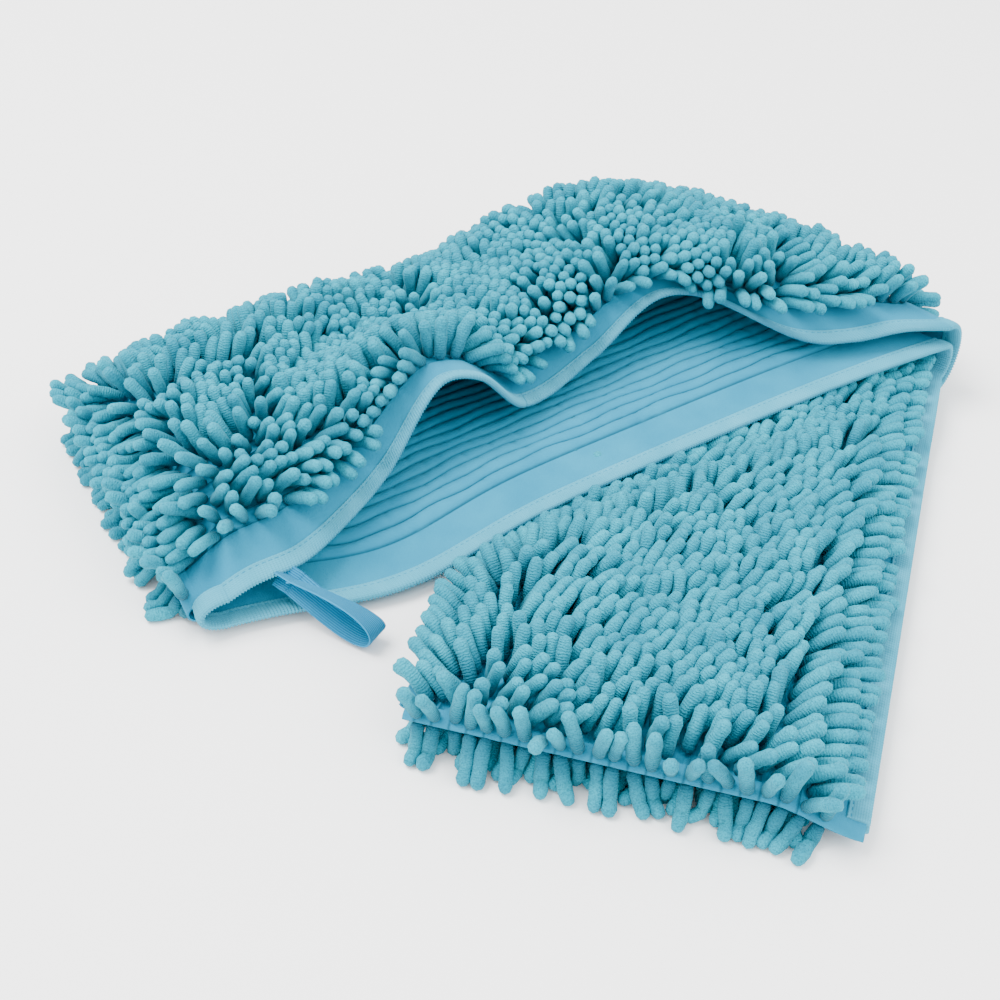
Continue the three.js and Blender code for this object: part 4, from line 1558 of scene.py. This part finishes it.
def facing(ahead: Array) -> tuple:
    """Rotation that turns a camera or a light to look along a direction."""
    return (math.acos(-ahead[2]), 0.0, math.atan2(-ahead[0], ahead[1]))


@dataclass
class Studio:
    """A pale table, soft light from above and the camera."""

    camera_at: tuple = (-0.3460, -0.5180, 0.4913)
    looks_at: tuple = (-0.0489, 0.0501, 0.0)
    lens: float = 55.8
    sensor: float = 36.0
    table_size: float = 30.0
    table_tone: tuple = (0.97, 0.97, 0.97, 1.0)
    sky: float = 2.2

    def camera(self) -> None:
        """Places the camera and makes it the scene's."""
        made = bpy.data.cameras.new("camera")
        made.lens, made.sensor_width = self.lens, self.sensor
        obj = bpy.data.objects.new("camera", made)
        bpy.context.scene.collection.objects.link(obj)
        place, target = np.array(self.camera_at), np.array(self.looks_at)
        obj.location = place
        obj.rotation_euler = facing(unit(target - place))
        bpy.context.scene.camera = obj

    def table(self) -> None:
        """The floor that the mitt lies on."""
        deselect_all()
        bpy.ops.mesh.primitive_plane_add(size=self.table_size)
        floor = bpy.context.object
        floor.name = "table"
        finish = bpy.data.materials.new("table_top")
        finish.use_nodes = True
        shader = finish.node_tree.nodes["Principled BSDF"]
        shader.inputs["Base Color"].default_value = self.table_tone
        shader.inputs["Roughness"].default_value = 0.9
        shader.inputs["Specular IOR Level"].default_value = 0.1
        floor.data.materials.append(finish)

    def light(self, name: str, place: tuple, size: float, watts: float) -> None:
        """A square soft light that faces the mitt."""
        made = bpy.data.lights.new(name, "AREA")
        made.size, made.energy = size, watts
        obj = bpy.data.objects.new(name, made)
        obj.location = place
        obj.rotation_euler = facing(unit(-np.array(place, float)))
        bpy.context.scene.collection.objects.link(obj)

    def build(self) -> None:
        """Sets everything up."""
        self.camera()
        self.table()
        self.light("key", (-0.9, 0.7, 2.2), 1.4, 120.0)
        self.light("fill", (0.9, -1.5, 1.6), 2.0, 45.0)
        world = bpy.data.worlds.new("soft_sky")
        world.use_nodes = True
        background = world.node_tree.nodes["Background"]
        background.inputs[0].default_value = (1.0, 1.0, 1.0, 1.0)
        background.inputs[1].default_value = self.sky
        bpy.context.scene.world = world
        log.info("studio: table, two lights and the camera")


@dataclass
class RearSection:
    """The section that lies on top: its upper side with the waving lip, its lower side and its seams."""

    lower_rows: float = 2.4  # how far the rows stand up that show inside the mouth
    lower_cell: float = 2.2

    def rows(self) -> list[Rows]:
        """Rows of noodles on the upper and the lower panel."""
        return [
            Rows(Bed.REAR_UPPER, PATCHES["rear_upper"], fans=(0.9, 0.0, 0.35, 1.0)),
            Rows(Bed.REAR_LOWER, PATCHES["rear_lower"], fans=(0.8, 0.0, 0.2, 1.2), spacing=9.0),
            EndRow(Bed.REAR_UPPER, PATCHES["rear_end"], 0.74, first=12.0),
            EndRow(Bed.REAR_LOWER, PATCHES["rear_end"], 0.24, first=12.0),
        ]

    def half(self, side: str, noodles: Noodles) -> None:
        """One half of the upper side, on one side of the lip's middle.

        Args:
            side: "left" or "right" of the lip's middle.
            noodles: The settled noodles.
        """
        left = side == "left"
        motion = f"lip_{side}"
        patch = PATCHES[f"rear_upper_{side}"]
        edge = PATCHES["rear_upper_left_edge"] if left else patch
        Cloth(
            f"rear_upper_cloth_{side}",
            patch,
            motion,
            (f"rear_{side}_panel", f"rear_{side}_hem_band", "lip_panel", "lip_hem_band"),
        ).build()
        tapes = (f"rear_{side}_binding", "lip_binding")
        Binding(f"rear_upper_binding_{side}", edge, motion, tapes).build()
        stitches = (f"rear_{side}_binding_stitch", "lip_binding_stitch")
        Stitching(f"rear_upper_stitching_{side}", edge, motion, stitches).build()
        seam = f"rear_closed_seam_strip_{side}"
        strip(seam, f"rear_closed_{side}", motion, "rear_closed_seam", (0.0, SEAM_ROUND), 2.5)
        span = (-1e4, LIP_MIDDLE) if left else (LIP_MIDDLE, 1e4)
        pile = noodles.piece(f"rear_upper_noodles_{side}", Bed.REAR_UPPER, span)
        MOTIONS[motion].attach(pile)
        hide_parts(f"rear_{side}_pile", "lip_pile")

    def lower_side(self, noodles: Noodles) -> None:
        """The lower panel, whose inner face shows in the mouth."""
        patch, edge = PATCHES["rear_lower"], PATCHES["rear_lower_edge"]
        Cloth(
            "rear_lower_cloth",
            patch,
            "rear",
            ("rear_lower_panel", "rear_lower_hem_band"),
            row_height=self.lower_rows,
            cell=self.lower_cell,
        ).build()
        Binding("rear_lower_tape", edge, "rear", ("rear_lower_binding",)).build()
        Stitching("rear_lower_stitching", edge, "rear", ("rear_lower_binding_stitch",)).build()
        pile = noodles.piece("rear_lower_noodles", Bed.REAR_LOWER)
        MOTIONS["rear"].attach(pile)
        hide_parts("rear_lower_pile")

    def seams(self) -> None:
        """The sewn end, the closed edge and the binding's turn round the corner of the mouth."""
        strip("rear_end_seam_strip", "rear_end", "rear", "rear_end_seam", (8.0, PANEL_END + 6))
        strip("rear_closed_seam_strip", "rear_closed", "rear", "rear_closed_seam", (0.0, SEAM_ROUND), 2.5)
        Binding("mouth_corner_tape", PATCHES["mouth_corner"], "rear", ("mouth_corner_binding",)).build()

    def build(self, noodles: Noodles) -> None:
        """Makes every piece of the section."""
        for side in ("left", "right"):
            self.half(side, noodles)
        self.lower_side(noodles)
        self.seams()


@dataclass
class FrontSection:
    """The section that lies on the table: two panels, their edges and the seams round them."""

    lean: tuple = (0.5, 0.12, 0.0)

    def rows(self) -> list[Rows]:
        """Rows of noodles on the upper and the lower panel."""
        return [
            Rows(
                Bed.FRONT_UPPER,
                PATCHES["front_upper"],
                first=25.0,
                fans=(0.0, 0.5, 0.9, 1.1),
                lean=self.lean,
                swirl=0.2,
            ),
            Rows(Bed.FRONT_LOWER, PATCHES["front_lower"], fans=(0.0, 1.2, 0.3, 1.0), spacing=9.0),
            EndRow(Bed.FRONT_UPPER, PATCHES["front_end"], 0.76, first=14.0, lean=(0.0, 0.0, 0.5)),
            EndRow(Bed.FRONT_LOWER, PATCHES["front_end"], 0.26, first=14.0),
        ]

    def side(self, name: str, noodles: Noodles, bed: Bed) -> None:
        """The upper or the lower side with its cloth, edge and noodles."""
        patch = PATCHES[f"front_{name}"]
        panels = (f"front_{name}_panel", f"front_{name}_hem_band")
        Cloth(f"front_{name}_cloth", patch, "front", panels).build()
        Binding(f"front_{name}_tape", patch, "front", (f"front_{name}_binding",)).build()
        Stitching(f"front_{name}_stitching", patch, "front", (f"front_{name}_binding_stitch",)).build()
        pile = noodles.piece(f"front_{name}_noodles", bed)
        MOTIONS["front"].attach(pile)
        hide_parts(f"front_{name}_pile")

    def build(self, noodles: Noodles) -> None:
        """Makes every piece of the section."""
        self.side("upper", noodles, Bed.FRONT_UPPER)
        self.side("lower", noodles, Bed.FRONT_LOWER)
        strip("front_end_seam_strip", "front_end", "front", "front_end_seam", (1.0, 196.0))
        closed = (0.0, SEAM_ROUND)
        strip("front_closed_seam_strip", "front_closed", "front", "front_closed_seam", closed, 2.5)


@dataclass
class Fold:
    """The two wraps of cloth round the fold, with their bound edges and the outer one's noodles."""

    def rows(self) -> list[Rows]:
        """Rows of noodles round the outer wrap."""
        return [Rows(Bed.FOLD_OUTER, PATCHES["fold_outer"], fans=(0.0, 0.0, 0.5, 0.6), swirl=0.15)]

    def build(self, noodles: Noodles) -> None:
        """Makes every piece of the fold."""
        for name in ("outer", "inner"):
            patch, motion = PATCHES[f"fold_{name}"], f"fold_{name}"
            panels = (f"fold_{name}_panel",)
            Cloth(f"fold_{name}_cloth", patch, motion, panels, held="folded", cell=2.0).build()
            Binding(f"fold_{name}_tape", patch, motion, (f"fold_{name}_binding",)).build()
            Stitching(f"fold_{name}_stitching", patch, motion, ()).build()
        pile = noodles.piece("fold_outer_noodles", Bed.FOLD_OUTER)
        MOTIONS["fold_outer"].attach(pile)
        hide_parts("fold_outer_pile")


@dataclass
class HangingLoop:
    """Ribbed webbing folded into a teardrop, twisted a little, with its ends under the upper binding."""

    root: tuple = (44.0, -2.6, 20.5)
    tip: tuple = (66.0, -38.0, 9.5)
    length: float = 48.0
    bulge: float = 17.0
    width: float = 13.0
    thick: float = 1.2
    lower_roll: float = 56.0
    upper_roll: float = 124.0
    ribs: int = 12
    rib_depth: float = 0.3
    steps: int = 96
    tucked: float = 9.0

    def path(self) -> tuple[Array, Array, Array]:
        """Along and across the opening for each step round the loop, and the roll of the webbing there."""
        a = np.linspace(0, 2 * math.pi, self.steps + 1)
        spread = lerp(1.1 * self.thick, self.bulge / 2, np.sin(a / 2) ** 2)
        along = (self.length - self.thick) * (1 - np.cos(a)) / 2
        turned = smoothstep(a, 0.3 * math.pi, 1.7 * math.pi)
        roll = np.radians(lerp(self.lower_roll, self.upper_roll, turned))
        hidden = np.linspace(self.tucked, self.tucked / 8, 8)
        flat = np.ones(8)
        half_gap = self.thick * 0.6
        along = np.concatenate([-hidden, along, -hidden[::-1]])
        opened = spread * np.sin(-a) - half_gap * np.cos(a / 2)
        across = np.concatenate([-half_gap * flat, opened, half_gap * flat])
        return along, across, np.concatenate([roll[0] * flat, roll, roll[-1] * flat])

    def build(self) -> None:
        """Sweeps the ribbed webbing round the teardrop."""
        root, tip = np.array(self.root), np.array(self.tip)
        ahead = unit(tip - root)
        level = unit(np.cross([0.0, 0.0, 1.0], ahead))
        upright = np.cross(ahead, level)
        along, across, roll = self.path()
        wide = np.cos(roll)[:, None] * upright + np.sin(roll)[:, None] * level
        mean = np.radians((self.lower_roll + self.upper_roll) / 2)
        opening = math.sin(mean) * upright - math.cos(mean) * level
        line = root + ahead * along[:, None] + opening * across[:, None]
        tangent = unit(np.gradient(line, axis=0))
        wide = unit(wide - tangent * (wide * tangent).sum(1, keepdims=True))
        face = np.cross(tangent, wide)
        count = 2 * self.ribs
        v = np.linspace(-0.5, 0.5, count + 1)
        rib = self.rib_depth * (np.arange(count + 1) % 2)
        rim = self.thick / 2 * np.where(np.abs(v) > 0.49, 0.6, 1.0)
        section_w = np.concatenate([v, v[::-1], v[:1]]) * self.width
        section_h = np.concatenate([rim - rib, -(rim - rib)[::-1], (rim - rib)[:1]])
        table = line[:, None] + wide[:, None] * section_w[:, None] + face[:, None] * section_h[:, None]
        run = np.concatenate([[0], np.cumsum(np.linalg.norm(np.diff(line, axis=0), axis=1))])
        mapping = np.stack(np.broadcast_arrays(run[:, None], section_w[None]), -1)
        obj = grid_piece("webbing_loop", table, mapping)
        close_tube(obj)
        shade_smooth(obj, 70)
        dress(obj, "webbing")
        MOTIONS["loop"].attach(obj)
        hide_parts("hanging_loop")
        log.info("webbing_loop: %.0f mm of webbing", run[-1])


@dataclass
class BarTack:
    """The bar of zigzag stitches that holds both ends of the webbing under the binding."""

    count: int = 12
    width: float = 13.0
    depth: float = 3.0
    thick: float = 0.8

    def build(self) -> None:
        """Copies one thread across the bar."""
        low, high = (np.array(corner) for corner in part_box("loop_bar_tack"))
        centre = ((low + high) / 2 - DRAPE.origin) / MM
        template = thread_ball((self.thick * 1.4, self.depth, self.thick * 2), 8, 6)
        across = np.linspace(-0.5, 0.5, self.count) * self.width
        places = centre + np.stack([across, *np.zeros((2, self.count))], -1)
        points = places[:, None] + template.points
        mapping = np.broadcast_to(template.points[:, :2], (self.count, len(template.points), 2))
        obj = copies_piece("bar_tack", template, points, mapping, np.full(self.count, 0.5))
        dress(obj, "thread")
        MOTIONS["rear"].attach(obj)
        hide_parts("loop_bar_tack")


def main() -> None:
    """Builds the studio, settles the noodles and makes every sub-assembly in order."""
    Studio().build()
    rear, front, fold = RearSection(), FrontSection(), Fold()
    noodles = Noodles()
    noodles.build([*rear.rows(), *front.rows(), *fold.rows()])
    front.build(noodles)
    fold.build(noodles)
    rear.build(noodles)
    HangingLoop().build()
    BarTack().build()


if __name__ == "__main__":
    main()
